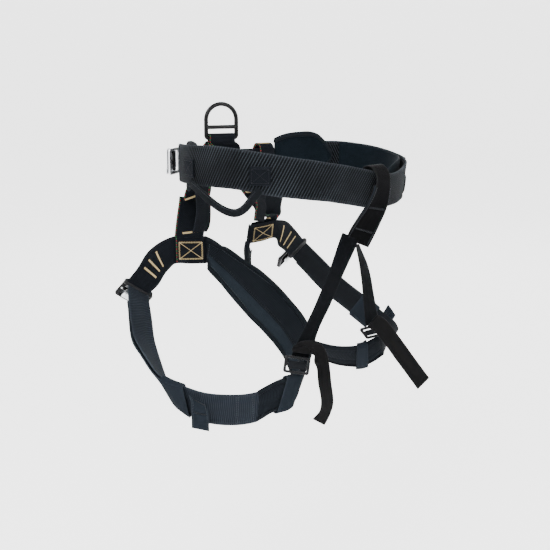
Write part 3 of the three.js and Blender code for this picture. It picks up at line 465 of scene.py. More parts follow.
def ribbon(name, f, thick, mat, off=0.0, k=9, cup=0.0, wave=0.25, seed=0.0, endround=0.0, mats=None, pick=None, bulge=None):
    """A strap of webbing along frames f."""
    sec = section_web(k)
    m = len(sec)
    V, UV, ED, Fs, MI = [], [], [], [], []
    n = len(f.c)
    for i in range(n):
        s = f.s[i]
        u = s / f.s[-1]
        o = off(u) if callable(off) else off
        th = thick(u) if callable(thick) else thick
        env = math.sin(math.pi * min(max(u, 0), 1)) ** 0.5 if 0 < u < 1 else 0.0
        half = f.half[i] * (1 + 0.012 * wav(s, seed + 3) * env)
        if endround:
            e = min(s, f.s[-1] - s)
            if e < endround:
                half *= 0.97 + 0.03 * math.sqrt(max(0, 1 - (1 - e / endround) ** 2))
        o = o + wave * wav(s, seed) * env
        for q in sec:
            if q[0] == "e":
                a = math.radians(q[2])
                x = q[1] * (half - th * 0.5 + th * 0.5 * math.cos(a))
                y = th * 0.5 * math.sin(a) * 1.0
            else:
                x = q[0] * (half - th * 0.5) / 0.975
                y = q[1] * th
            z = y + o + cup * (1 - (x / half) ** 2) + (bulge(u, x / half, y / th) if bulge else 0)
            V.append(f.c[i] + f.w[i] * x + f.n[i] * z)
            UV.append((s * MM, x * MM)); ED.append((0.5 + 0.5 * x / half, u))
    for i in range(n - 1):
        for j in range(m):
            a, b = i * m + j, i * m + (j + 1) % m
            Fs.append((a, b, b + m, a + m))
            if pick:
                xa = (ED[a][0] - 0.5) * 2
                MI.append(pick(ED[a][1], xa, j <= k))
            else:
                MI.append(0)
    Fs.append(tuple(range(m))[::-1]); MI.append(0)
    Fs.append(tuple(range((n - 1) * m, n * m))); MI.append(0)
    # outward faces: section runs bottom face left to right, so it is already consistent
    return new_mesh(name, V, Fs, mat, UV, ED, mats=mats, mat_index=MI)

def tube(name, path, r, mat, closed=False, sides=14, flat=1.0, up=None):
    P = np.array(path, float)
    n = len(P)
    V, UV, Fs = [], [], []
    s = 0.0
    prev = None
    for i in range(n):
        a = P[(i - 1) % n] if (closed or i > 0) else P[i]
        b = P[(i + 1) % n] if (closed or i < n - 1) else P[i]
        t = unit(b - a)
        if prev is None:
            ref = V3(0, 0, 1) if up is None else unit(up)
            if abs(ref @ t) > 0.9: ref = V3(0, 1, 0.1)
            x = unit(np.cross(ref, t))
        else:
            x = unit(prev - t * (prev @ t))
        prev = x
        y = np.cross(t, x)
        if i: s += np.linalg.norm(P[i] - P[i - 1])
        rr = r[i] if hasattr(r, "__len__") else r
        for j in range(sides):
            q = 2 * math.pi * j / sides
            V.append(P[i] + x * rr * math.cos(q) + y * rr * flat * math.sin(q))
            UV.append((s * MM, q * 0.003))
    rows = n if closed else n - 1
    for i in range(rows):
        for j in range(sides):
            a, b = i * sides + j, i * sides + (j + 1) % sides
            c, d = ((i + 1) % n) * sides + (j + 1) % sides, ((i + 1) % n) * sides + j
            Fs.append((a, b, c, d))
    if not closed:
        Fs.append(tuple(range(sides))[::-1])
        Fs.append(tuple(range((n - 1) * sides, n * sides)))
    return new_mesh(name, V, Fs, mat, UV)

# ---------------------------------------------------------------- thread work, as real thread
class Thread:
    def __init__(self, name, mat, body="saddle"):
        self.name, self.mat, self.body = name, mat, body
        self.V, self.F = [], []

    def seg(self, p, q, nrm, r=0.26, lift=0.75, sink=0.35):
        """One stitch from p to q lying on a surface with normal nrm."""
        p, q, nrm = V3(*p), V3(*q), unit(nrm)
        d = q - p
        L = np.linalg.norm(d)
        if L < 1e-6: return
        d /= L
        x = unit(np.cross(nrm, d))
        b = len(self.V)
        for (k, h, rr) in ((0.0, -sink, 0.55), (0.18, lift * 0.7, 1.0), (0.82, lift * 0.7, 1.0), (1.0, -sink, 0.55)):
            c = p + d * L * k + nrm * h * r
            for j in range(6):
                a = math.pi * 2 * j / 6
                self.V.append(c + x * r * rr * math.cos(a) + nrm * r * rr * math.sin(a))
        for i in range(3):
            for j in range(6):
                a0 = b + i * 6 + j; a1 = b + i * 6 + (j + 1) % 6
                self.F.append((a0, a0 + 6, a1 + 6, a1))
        self.F.append(tuple(b + j for j in range(6)))
        self.F.append(tuple(b + 18 + j for j in range(6))[::-1])

    def line(self, f, s0, s1, v0, v1, h, pitch=3.4, gap=0.9, r=0.26):
        """A stitched line on frames f from (s0, v0) to (s1, v1) at height h."""
        L = math.hypot(s1 - s0, (v1(1) if callable(v1) else v1) - (v0(0) if callable(v0) else v0))
        k = max(1, int(round(L / pitch)))
        vv = (lambda t: v0(t)) if callable(v0) else (lambda t: v0 + (v1 - v0) * t)
        for i in range(k):
            a, b = (i + gap * 0.12) / k, (i + 1 - gap * 0.12) / k
            sa, sb = s0 + (s1 - s0) * a, s0 + (s1 - s0) * b
            p, q = f.at(sa, vv(a), h), f.at(sb, vv(b), h)
            n = f.at((sa + sb) / 2, vv((a + b) / 2), h + 1) - f.at((sa + sb) / 2, vv((a + b) / 2), h)
            self.seg(p, q, n * (1 if h >= 0 else -1), r)

    def tack(self, f, s, v0, v1, h, wide=2.6, step=0.62, r=0.3, slant=0.0):
        """A bar tack: dense zigzag across the strap between v0 and v1."""
        k = max(3, int(abs(v1 - v0) / step))
        for i in range(k):
            v = v0 + (v1 - v0) * (i + 0.5) / k
            sc = s + slant * (i / k - 0.5)
            z = 0.18 * ((i % 3) - 1)
            p, q = f.at(sc - wide / 2 + z, v, h), f.at(sc + wide / 2 + z, v + step * 0.5, h)
            n = f.at(sc, v, h + 1) - f.at(sc, v, h)
            self.seg(p, q, n * (1 if h >= 0 else -1), r, lift=1.0)

    def xbox(self, f, s0, s1, v0, v1, h, r=0.27, pitch=3.0):
        for (a, b, c, d) in ((s0, s1, v0, v0), (s0, s1, v1, v1), (s0, s0, v0, v1), (s1, s1, v0, v1), (s0, s1, v0, v1), (s0, s1, v1, v0)):
            self.line(f, a, b, c, d, h, pitch=pitch, r=r)

    def done(self, slot=None):
        if not self.V: return None
        o = new_mesh(self.name, self.V, self.F, self.mat)
        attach(o, self.body)
        return o

# ---------------------------------------------------------------- materials
def tree(name):
    m = bpy.data.materials.new(name)
    m.use_nodes = True
    nt = m.node_tree
    for n in list(nt.nodes): nt.nodes.remove(n)
    out = nt.nodes.new("ShaderNodeOutputMaterial")
    b = nt.nodes.new("ShaderNodeBsdfPrincipled")
    nt.links.new(b.outputs[0], out.inputs[0])
    return m, nt, b

def N(nt, kind, **kw):
    n = nt.nodes.new("ShaderNode" + kind)
    for k, v in kw.items():
        if k.startswith("i"):
            n.inputs[int(k[1:])].default_value = v
        else:
            setattr(n, k, v)
    return n

def math_(nt, op, a, b=None, c=None, clamp=False):
    n = nt.nodes.new("ShaderNodeMath")
    n.operation = op
    n.use_clamp = clamp
    for i, x in enumerate((a, b, c)):
        if x is None: continue
        if isinstance(x, (int, float)): n.inputs[i].default_value = x
        else: nt.links.new(x, n.inputs[i])
    return n.outputs[0]

def mixc(nt, fac, a, b, mode="MIX"):
    n = nt.nodes.new("ShaderNodeMix")
    n.data_type = "RGBA"
    n.blend_type = mode
    if isinstance(fac, (int, float)): n.inputs[0].default_value = fac
    else: nt.links.new(fac, n.inputs[0])
    for i, x in ((6, a), (7, b)):
        if isinstance(x, tuple): n.inputs[i].default_value = (*x, 1)
        else: nt.links.new(x, n.inputs[i])
    return n.outputs[2]

def noise(nt, vec, scale, detail=3, rough=0.6):
    n = nt.nodes.new("ShaderNodeTexNoise")
    n.inputs["Scale"].default_value = scale
    n.inputs["Detail"].default_value = detail
    n.inputs["Roughness"].default_value = rough
    nt.links.new(vec, n.inputs["Vector"])
    return n.outputs[0]

def m_web(name, base, light, pitch=2.4, vp=7.0, slope=1.0, rib=0.75, rough=0.78, bump=0.5, edge=0.35, sheen=0.006, yarn=0.9, contrast=0.7, spec=0.035, fuzz=0.2, gamma=1.0):
    """Woven webbing: diagonal ribs in stripes vp wide, pitch apart (millimetres), from the strap's own along and across."""
    m, nt, b = tree(name)
    uvn = nt.nodes.new("ShaderNodeUVMap"); uvn.uv_map = "UVMap"
    sp = nt.nodes.new("ShaderNodeSeparateXYZ"); nt.links.new(uvn.outputs[0], sp.inputs[0])
    u, v = sp.outputs[0], sp.outputs[1]
    co = nt.nodes.new("ShaderNodeTexCoord").outputs["Object"]
    big = noise(nt, co, 14, 4)
    mid = noise(nt, co, 90, 3)
    fine = noise(nt, co, 1600, 2)
    tri = math_(nt, "PINGPONG", math_(nt, "ADD", v, 0.5), vp * MM / 2)
    ph = math_(nt, "ADD", u, math_(nt, "MULTIPLY", tri, slope))
    ph = math_(nt, "ADD", ph, math_(nt, "MULTIPLY", mid, 0.0006))
    ribs = math_(nt, "MULTIPLY_ADD", math_(nt, "SINE", math_(nt, "MULTIPLY", ph, 2 * math.pi / (pitch * MM))), 0.5, 0.5)
    yv = math_(nt, "MULTIPLY_ADD", math_(nt, "SINE", math_(nt, "MULTIPLY", v, 2 * math.pi / (yarn * MM))), 0.5, 0.5)
    yu = math_(nt, "MULTIPLY_ADD", math_(nt, "SINE", math_(nt, "MULTIPLY", u, 2 * math.pi / (yarn * 0.8 * MM))), 0.5, 0.5)
    tw = math_(nt, "MULTIPLY", yv, yu)
    h = math_(nt, "ADD", math_(nt, "MULTIPLY", ribs, rib), math_(nt, "MULTIPLY", tw, 1 - rib))
    h = math_(nt, "ADD", h, math_(nt, "MULTIPLY", fine, fuzz))
    # colour
    e = nt.nodes.new("ShaderNodeUVMap"); e.uv_map = "edge"
    es = nt.nodes.new("ShaderNodeSeparateXYZ"); nt.links.new(e.outputs[0], es.inputs[0])
    ed = math_(nt, "ABSOLUTE", math_(nt, "MULTIPLY_ADD", es.outputs[0], 2.0, -1.0))
    wear = math_(nt, "MULTIPLY", math_(nt, "POWER", ed, 14.0), edge)
    wear = math_(nt, "MULTIPLY", wear, math_(nt, "MULTIPLY_ADD", big, 1.4, 0.1))
    f1 = math_(nt, "MULTIPLY", math_(nt, "MULTIPLY_ADD", h, contrast, (1 - contrast) * 0.25), math_(nt, "MULTIPLY_ADD", big, 0.9, 0.45), clamp=True)
    if gamma != 1.0: f1 = math_(nt, "POWER", f1, gamma)
    colr = mixc(nt, f1, base, light)
    colr = mixc(nt, wear, colr, tuple(min(1, x * 1.6 + 0.008) for x in light))
    nt.links.new(colr, b.inputs["Base Color"])
    r = math_(nt, "MULTIPLY_ADD", h, -0.18, rough + 0.1)
    r = math_(nt, "ADD", r, math_(nt, "MULTIPLY", big, 0.08), clamp=True)
    nt.links.new(r, b.inputs["Roughness"])
    b.inputs["Specular IOR Level"].default_value = spec
    b.inputs["Sheen Weight"].default_value = sheen
    b.inputs["Sheen Roughness"].default_value = 0.45
    b.inputs["Sheen Tint"].default_value = (0.75, 0.8, 0.9, 1)
    bp = nt.nodes.new("ShaderNodeBump")
    bp.inputs["Strength"].default_value = bump
    bp.inputs["Distance"].default_value = 0.0006
    nt.links.new(h, bp.inputs["Height"])
    nt.links.new(bp.outputs[0], b.inputs["Normal"])
    return m

def m_cloth(name, base, light, scale=900, rough=0.9, bump=0.4, sheen=0.008):
    """Fine knit or spacer mesh, from object coordinates."""
    m, nt, b = tree(name)
    co = nt.nodes.new("ShaderNodeTexCoord").outputs["Object"]
    vo = nt.nodes.new("ShaderNodeTexVoronoi"); vo.inputs["Scale"].default_value = scale
    nt.links.new(co, vo.inputs["Vector"])
    big = noise(nt, co, 22, 4); fine = noise(nt, co, 2400, 2)
    h = math_(nt, "ADD", math_(nt, "SUBTRACT", 1.0, vo.outputs[0]), math_(nt, "MULTIPLY", fine, 0.35))
    f1 = math_(nt, "MULTIPLY", math_(nt, "MULTIPLY_ADD", h, 0.5, 0.0), math_(nt, "MULTIPLY_ADD", big, 1.1, 0.35), clamp=True)
    nt.links.new(mixc(nt, f1, base, light), b.inputs["Base Color"])
    nt.links.new(math_(nt, "MULTIPLY_ADD", big, 0.12, rough - 0.06, clamp=True), b.inputs["Roughness"])
    b.inputs["Sheen Weight"].default_value = sheen
    b.inputs["Sheen Roughness"].default_value = 0.5
    b.inputs["Specular IOR Level"].default_value = 0.03
    bp = nt.nodes.new("ShaderNodeBump"); bp.inputs["Strength"].default_value = bump; bp.inputs["Distance"].default_value = 0.0005
    nt.links.new(h, bp.inputs["Height"]); nt.links.new(bp.outputs[0], b.inputs["Normal"])
    return m

def m_steel(name, base, dark, rough=0.28, scratch=0.25, metal=1.0, brush=(40, 900, 900), spec=0.5, worn=None):
    m, nt, b = tree(name)
    co = nt.nodes.new("ShaderNodeTexCoord").outputs["Object"]
    mp = nt.nodes.new("ShaderNodeMapping"); mp.inputs["Scale"].default_value = brush
    nt.links.new(co, mp.inputs[0])
    br = noise(nt, mp.outputs[0], 1.0, 3)
    big = noise(nt, co, 60, 4); sp = noise(nt, co, 700, 2)
    geo = nt.nodes.new("ShaderNodeNewGeometry")
    edge = math_(nt, "MULTIPLY", math_(nt, "SUBTRACT", geo.outputs["Pointiness"], 0.5), 6.0, clamp=True)
    f = math_(nt, "MULTIPLY_ADD", big, 0.8, 0.1, clamp=True)
    c = mixc(nt, f, base, dark)
    c = mixc(nt, edge, c, worn or tuple(min(1, x * 1.35 + 0.08) for x in base))
    nt.links.new(c, b.inputs["Base Color"])
    b.inputs["Metallic"].default_value = metal
    b.inputs["Specular IOR Level"].default_value = spec
    r = math_(nt, "ADD", math_(nt, "MULTIPLY", br, scratch), math_(nt, "MULTIPLY_ADD", sp, 0.12, rough - 0.14), clamp=True)
    nt.links.new(r, b.inputs["Roughness"])
    bp = nt.nodes.new("ShaderNodeBump"); bp.inputs["Strength"].default_value = 0.12; bp.inputs["Distance"].default_value = 0.0002
    nt.links.new(math_(nt, "ADD", br, math_(nt, "MULTIPLY", big, 0.6)), bp.inputs["Height"]); nt.links.new(bp.outputs[0], b.inputs["Normal"])
    return m

def m_thread(name, base, light, rough=0.55):
    m, nt, b = tree(name)
    co = nt.nodes.new("ShaderNodeTexCoord").outputs["Object"]
    f = noise(nt, co, 900, 3); g = noise(nt, co, 45, 2)
    nt.links.new(mixc(nt, math_(nt, "MULTIPLY", f, math_(nt, "MULTIPLY_ADD", g, 0.9, 0.5), clamp=True), base, light), b.inputs["Base Color"])
    nt.links.new(math_(nt, "MULTIPLY_ADD", f, 0.2, rough - 0.1, clamp=True), b.inputs["Roughness"])
    b.inputs["Sheen Weight"].default_value = 0.01
    b.inputs["Specular IOR Level"].default_value = 0.08
    bp = nt.nodes.new("ShaderNodeBump"); bp.inputs["Strength"].default_value = 0.4; bp.inputs["Distance"].default_value = 0.0002
    nt.links.new(f, bp.inputs["Height"]); nt.links.new(bp.outputs[0], b.inputs["Normal"])
    return m

BLACK = m_web("webbing_black", (0.0006, 0.0008, 0.0011), (0.0062, 0.0078, 0.0108), pitch=2.6, vp=9.0, slope=1.0, bump=0.7)
BELT = m_web("belt_webbing", (0.0002, 0.0003, 0.0004), (0.0210, 0.0250, 0.0300), pitch=4.0, vp=400.0, slope=0.5, rib=0.80, bump=1.0, contrast=1.0, gamma=3.2, yarn=3.0)
# darker copy of the black webbing for the rear straps, which face the lamps more: painted shade
RSTRAP_SHADED = m_web("strap_black", (0.0003, 0.0004, 0.0005), (0.0030, 0.0037, 0.0050), pitch=2.2, vp=8.0, slope=1.0, bump=0.6)
GREY = m_web("webbing_charcoal", (0.00151, 0.00196, 0.00271), (0.01735, 0.02188, 0.02867), pitch=2.8, vp=42.0, slope=0.12, bump=0.8, contrast=0.8)
# darker, finer-ribbed copy of the charcoal webbing for the far (right) leg strap; its darker colour is painted shade
GREY_SHADED = m_web("webbing_charcoal_painted_shade", (0.0008, 0.0010, 0.0014), (0.0100, 0.0115, 0.0140), pitch=1.8, vp=42.0, slope=0.12, bump=0.5, contrast=0.6)
TAILM = m_web("webbing_thin", (0.00048, 0.00048, 0.00056), (0.00300, 0.00300, 0.00340), pitch=1.6, vp=5.0, bump=0.4, rough=0.62, spec=0.05, sheen=0.01)
LOOPM = m_web("loop_webbing", (0.00087, 0.00109, 0.00139), (0.00652, 0.00783, 0.00957), pitch=1.8, vp=4.0, bump=0.5, edge=0.6)
HANGM = m_web("hanger_webbing", (0.00016, 0.00018, 0.00024), (0.00160, 0.00184, 0.00230), pitch=1.9, vp=6.0, bump=0.6, edge=1.0)
KEEPM = m_web("keeper_webbing", (0.00252, 0.00357, 0.00525), (0.01386, 0.01848, 0.02436), pitch=1.7, vp=30.0, slope=0.0, bump=0.4, contrast=0.4)
BIND = m_web("binding_tape", (0.0010, 0.0013, 0.0018), (0.0090, 0.0115, 0.0145), pitch=1.2, vp=30.0, slope=0.0, rib=0.5, bump=0.4)
RIBP = m_web("pad_ribbed_cover", (0.00080, 0.00104, 0.00152), (0.00800, 0.01040, 0.01360), pitch=2.2, vp=30.0, slope=0.25, bump=0.7)
LINE = m_cloth("pad_lining", (0.00372, 0.00527, 0.00744), (0.01488, 0.01984, 0.02480), bump=0.25)
FLEECE = m_cloth("belt_lining_cloth", (0.00065, 0.00143, 0.00234), (0.00553, 0.00943, 0.01268), scale=700)
STEEL = m_steel("buckle_steel", (0.66, 0.67, 0.69), (0.40, 0.41, 0.43), rough=0.24)
DARK = m_steel("ring_steel", (0.0030, 0.0030, 0.0034), (0.0016, 0.0016, 0.0018), rough=0.22, scratch=0.10, metal=0.0, spec=0.10, worn=(0.0060, 0.0058, 0.0060))
BLKP = m_steel("buckle_black", (0.0030, 0.0032, 0.0038), (0.0060, 0.0064, 0.0074), rough=0.32, metal=0.0, spec=0.08, worn=(0.006, 0.0062, 0.0068))
TAN = m_thread("thread_tan", (0.20, 0.145, 0.065), (0.44, 0.35, 0.19))
RED = m_thread("thread_red", (0.22, 0.015, 0.015), (0.42, 0.05, 0.04))
GREEN = m_thread("thread_green", (0.02, 0.12, 0.035), (0.07, 0.28, 0.09))
LTHR = m_thread("thread_grey", (0.0090, 0.0105, 0.0130), (0.0380, 0.0430, 0.0500))
BTHR = m_thread("thread_black", (0.0010, 0.0012, 0.0015), (0.0100, 0.0115, 0.0140))

tan = Thread("stitching_tan", TAN)
red = Thread("tracer_red", RED)
green = Thread("tracer_green", GREEN)
grey = Thread("stitching_grey", LTHR)
black = Thread("stitching_black", BTHR)

def put(o, body, slot, *nodes):
    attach(o, body)
    if nodes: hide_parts(*nodes)
    return o

# ---------------------------------------------------------------- straps
T = TABLES
BELT_SIDE = 1
FR = {k: F(v, 6) for k, v in T.items()}
f = FR

# waist belt: thick ribbed webbing with rolled edges, and a soft lining inside
fb = F(T["waist_belt_webbing"], 10)
belt = put(ribbon("belt_outer", fb, BELT_T, BELT, k=14, wave=0.5, seed=1, cup=0.0,
    bulge=lambda u, x, y: (0.55 if y > 0 else -0.55) * max(0, (abs(x) - 0.86) / 0.14) ** 1.5), "saddle", "webbing_black", "waist_belt_webbing")
fl = F(T["waist_belt_lining"], 10)
lin = put(ribbon("belt_lining", fl, LINING_T, FLEECE, k=12, wave=0.35, seed=2,
    bulge=lambda u, x, y: (0.7 if y > 0 else -0.7) * (1 - x * x)), "saddle", "lining", "waist_belt_lining")
# stitched edges of the belt
for (v, m) in ((0.80, black), (-0.80, black)):
    m.line(fb, 6, fb.s[-1] - 6, lambda t, v=v: v * np.interp(t, [0, 1], [fb.half[0], fb.half[-1]]), lambda t, v=v: v * np.interp(t, [0, 1], [fb.half[0], fb.half[-1]]), BELT_SIDE * (BELT_T / 2 + 0.5), pitch=5.0, r=0.34)
for e in (0, 1):
    s0 = 5 if e == 0 else fb.s[-1] - 5
    hv = (fb.half[0] if e == 0 else fb.half[-1]) * 0.8
    for ds in (0, 5, 10):
        s = s0 + ds * (1 if e == 0 else -1)
        black.line(fb, s, s + 0.01, -hv, hv, BELT_SIDE * (BELT_T / 2 + 0.3), pitch=3.2, r=0.32)

fc = F(T["belt_closure_strap"], 8)
put(ribbon("closure_strap", fc, 2.0, BLACK, k=8, wave=0.4, seed=5), "saddle", "webbing_black", "belt_closure_strap")

def soft_pad(name, fr, thick, node, body="saddle", face_mats=None, pick=None, groove=None, k=22, lump=0.5, seed=0, edge_t=0.34):
    """A sewn foam pad: crowned on both faces, pinched at its bound edges and along its sewn lines."""
    V, UV, ED, Fs, MI = [], [], [], [], []
    n = len(fr.c)
    m = 2 * k
    for i in range(n):
        s = fr.s[i]; u = s / fr.s[-1]
        e = min(s, fr.s[-1] - s)
        endk = min(1.0, (e + 1.0) / 9.0) ** 0.5
        half = fr.half[i] - 1.2
        for j in range(m):
            top = j >= k
            q = j if not top else (m - 1 - j)
            x = -1 + 2 * q / (k - 1)
            prof = edge_t + (1 - edge_t) * (1 - abs(x) ** 3.2)
            y = 0.5 * thick * prof * endk
            y += lump * (1 - x * x) * (0.5 * math.sin(s * 0.11 + seed + x * 1.3) + 0.5 * math.sin(s * 0.07 + 2 * x + seed * 2)) * endk
            if groove:
                y -= groove(u, x, top) * endk
            y = max(y, 0.7)
            V.append(fr.c[i] + fr.w[i] * x * half + fr.n[i] * (y if top else -y))
            UV.append((s * MM, x * half * MM)); ED.append((0.5 + 0.5 * x, u))
    for i in range(n - 1):
        for j in range(m):
            a, b = i * m + j, i * m + (j + 1) % m
            Fs.append((a, b, b + m, a + m))
            xa = (ED[a][0] + ED[b][0]) - 1
            MI.append(pick(ED[a][1], xa, j >= k) if pick else 0)
    Fs.append(tuple(range(m))[::-1]); MI.append(0)
    Fs.append(tuple(range((n - 1) * m, n * m))); MI.append(0)
    o = new_mesh(name, V, Fs, None, UV, ED, mats=face_mats, mat_index=MI)
    put(o, body, "padding", *([node] if node else []))
    return o

def binding(name, fr, sgn, thick, body="saddle", wide=7.0, mat=None, s0=0, s1=None, extra=1.1):
    """Tape folded over the long edge of a pad on side sgn."""
    s1 = fr.s[-1] if s1 is None else s1
    V, UV, ED, Fs = [], [], [], []
    prof = []
    for (a, b) in ((-wide, -1), (-wide + 0.2, -1.12), (-wide * 0.5, -1.06), (-1.2, -0.92), (0.1, -0.5), (0.45, 0), (0.1, 0.5), (-1.2, 0.92), (-wide * 0.5, 1.06), (-wide + 0.2, 1.12), (-wide, 1)):
        prof.append((a, b))
    inner = [(a * 0.99 - 0.6, b * 0.72) for (a, b) in prof[::-1]]
    ring = prof + inner
    m = len(ring)
    idx = [i for i in range(len(fr.c)) if s0 - 1e-6 <= fr.s[i] <= s1 + 1e-6]
    for i in idx:
        s = fr.s[i]
        for (a, b) in ring:
            x = fr.half[i] + a + 0.25 * wav(s, 4 + sgn)
            rel = min(1.0, abs(x) / fr.half[i])
            y = b * (0.5 * thick * (0.34 + 0.66 * (1 - rel ** 3.2)) + extra)
            V.append(fr.c[i] + fr.w[i] * x * sgn + fr.n[i] * y)
            UV.append((s * MM, a * MM)); ED.append((0.5, 0.5))
    n = len(idx)
    for i in range(n - 1):
        for j in range(m):
            a, b = i * m + j, i * m + (j + 1) % m
            q = (a, b, b + m, a + m)
            Fs.append(q if sgn > 0 else q[::-1])
    e0, e1 = tuple(range(m)), tuple(range((n - 1) * m, n * m))
    Fs.append(e0[::-1] if sgn > 0 else e0); Fs.append(e1 if sgn > 0 else e1[::-1])
    return put(new_mesh(name, V, Fs, mat or BIND, UV, ED), body, "padding")

def into(rows, other, k=0.45):
    """The strap run on a little into the piece it is sewn into."""
    a, p, q = np.array(rows[-1], float), np.array(other[0], float), np.array(other[1], float)
    r = p + (q - p) * k
    if r[3:6] @ a[3:6] < 0: r[3:6] = -r[3:6]
    r[6] = min(a[6], r[6]) - 1.5
    return list(rows) + [list(r)]

# hip pads
HR = T["hip_pad_right"]
HL = [[-r[0], r[1], r[2], -r[3], r[4], r[5], r[6]] for r in HR][:-1]
HL = [[r[0] * 0.99, r[1] * 0.99] + list(r[2:]) for r in HL]
for side, st in (("right", HR), ("left", HL)):
    fh = F(st, 6)
    soft_pad("hip_pad_" + side + "_cover", fh, HIP_T, "hip_pad_" + side, face_mats=[RIBP, FLEECE], pick=lambda u, x, top: 1 if top else 0, seed=3)
    for sg in (1, -1):
        binding("hip_pad_%s_binding_%s" % (side, "top" if sg > 0 else "bottom"), fh, sg, HIP_T)
        grey.line(fh, 3, fh.s[-1] - 3, lambda t: sg * (np.interp(t, [0, .5, 1], [fh.half[0], fh.half[len(fh.half) // 2], fh.half[-1]]) - 5.6), lambda t: sg * (np.interp(t, [0, .5, 1], [fh.half[0], fh.half[len(fh.half) // 2], fh.half[-1]]) - 5.6), -HIP_T * 0.42, pitch=3.6, r=0.25)

# leg pads
def groove_at(xs, width, depth):
    return lambda u, x, top: sum(depth * math.exp(-((x - q) / width) ** 2) for q in xs)
for side in ("left", "right"):
    fp = F(into(T["leg_pad_" + side][::-1], T["leg_yoke_" + side][::-1], 0.12)[::-1] if side == "left" else T["leg_pad_" + side], 6)
    inner_top = side == "left"            # which face lies against the thigh
    split = -0.22
    def pick(u, x, top, inner_top=inner_top):
        if top == inner_top: return 1 if x < -0.22 else 0
        return 0
    soft_pad("leg_pad_%s_cover" % side, fp, PAD_T, "leg_pad_" + side, face_mats=[RIBP, LINE], pick=pick, groove=groove_at([split], 0.05, 1.1), seed=7 if side == "left" else 9, lump=0.55)
    for sg in (1, -1):
        binding("leg_pad_%s_binding_%s" % (side, "top" if sg > 0 else "bottom"), fp, sg, PAD_T, wide=6.0)
    hsgn = 1 if inner_top else -1
    H = lambda x: hsgn * (0.5 * PAD_T * (0.34 + 0.66 * (1 - abs(x) ** 3.2)) - 0.2)
    hf = lambda t, x: x * np.interp(t, np.linspace(0, 1, len(fp.half)), fp.half)
    L = fp.s[-1]
    for x in (split + 0.045, split + 0.13):
        black.line(fp, 4, L * 0.62, lambda t, x=x: hf(t * 0.62, x), lambda t, x=x: hf(t * 0.62, x), H(x), pitch=4.2, r=0.30)
        grey.line(fp, L * 0.62, L - 6, lambda t, x=x: hf(0.62 + t * 0.38, x), lambda t, x=x: hf(0.62 + t * 0.38, x), H(x), pitch=4.2, r=0.28)
    grey.line(fp, 5, L - 5, lambda t: hf(t, 0.84), lambda t: hf(t, 0.84), H(0.84) + hsgn * 0.9, pitch=4.0, r=0.26)
    grey.line(fp, 5, L - 5, lambda t: hf(t, -0.84), lambda t: hf(t, -0.84), H(0.84) + hsgn * 0.9, pitch=4.0, r=0.26)
    grey.line(fp, 5, L - 5, lambda t: hf(t, 0.84), lambda t: hf(t, 0.84), -H(0.84) - hsgn * 0.9, pitch=4.0, r=0.26)
    # stitched front edge of the pad
    ff = fp.cut(0, 8)
    grey.line(fp, 5.5, 5.51, -fp.half[1] * 0.75, fp.half[1] * 0.75, H(0.3), pitch=3.4, r=0.3)

# D-ring straps
yaw = math.radians(28)
ringX = V3(-math.cos(yaw), math.sin(yaw), 0)
ringN = V3(math.sin(yaw), math.cos(yaw), 0)
ringO = V3(0, -147, 33.7)
barO = ringO + V3(0, 0, 2.75)
r_ = 2.75 + 0.4 + WEB_T / 2 + 1.2
row = lambda a, z: [*(barO + ringN * a + V3(0, 0, z)), *ringX, 41.5]
wrap = [row(-r_, -13), row(-r_, -5), row(-r_, 0), row(-r_ * 0.88, r_ * 0.88), row(0, r_ + 0.5), row(r_ * 0.88, r_ * 0.88), row(r_, 0), row(r_, -6)]
fdr = F(wrap + T["d_ring_strap_right"], 6)
fdl = F(T["d_ring_strap_left"], 8)
put(ribbon("ring_strap_right", fdr, WEB_T, BLACK, k=12, wave=0.2, seed=8), "saddle", "webbing_black", "d_ring_strap_right")
put(ribbon("ring_strap_left", fdl, WEB_T, BLACK, k=12, wave=0.3, seed=9), "saddle", "webbing_black", "d_ring_strap_left")

# the ring strap's lower end runs on over the front of the far riser and is sewn down
low = F([T["d_ring_strap_right"][-1], [-70.5, -131.5, -68.0, -0.99, 0.16, -0.04, 43.5], [-77.0, -128.5, -80.0, -0.99, 0.14, -0.08, 43.0], [-82.0, -127.5, -90.0, -0.99, 0.12, -0.12, 42.5]], 6)
put(ribbon("ring_strap_lower_right", low, WEB_T, BLACK, k=12, wave=0.2, seed=10), "saddle", "webbing_black")

# risers, tunnels, yokes
for side in ("left", "right"):
    yk = F(T["leg_yoke_" + side], 1)
    i = len(yk.c) - 3
    foot = lambda a: [*(yk.c[i] + yk.w[i] * a + yk.n[i] * 3.6), *yk.t[i], 45]
    fr = F(list(T["riser_" + side]) + [foot(19), foot(0), foot(-20)], 8)
    FR["riser_" + side] = fr
    put(ribbon("riser_web_" + side, fr, WEB_T, BLACK, k=12, wave=0.35, seed=11), "saddle", "webbing_black", "riser_" + side)
    ft = F(T["riser_tunnel_" + side], 6)
    FR["tunnel_" + side] = ft
    put(ribbon("tunnel_web_" + side, ft, 2.0, BLACK, k=10, wave=0.35, seed=12), "saddle", "webbing_black", "riser_tunnel_" + side)
    fy = F(into(T["leg_yoke_" + side], T["leg_pad_" + side]), 8)
    FR["yoke_" + side] = fy
    put(ribbon("yoke_web_" + side, fy, WEB_T, BLACK, k=12, wave=0.3, seed=13), "saddle", "webbing_black", "leg_yoke_" + side)

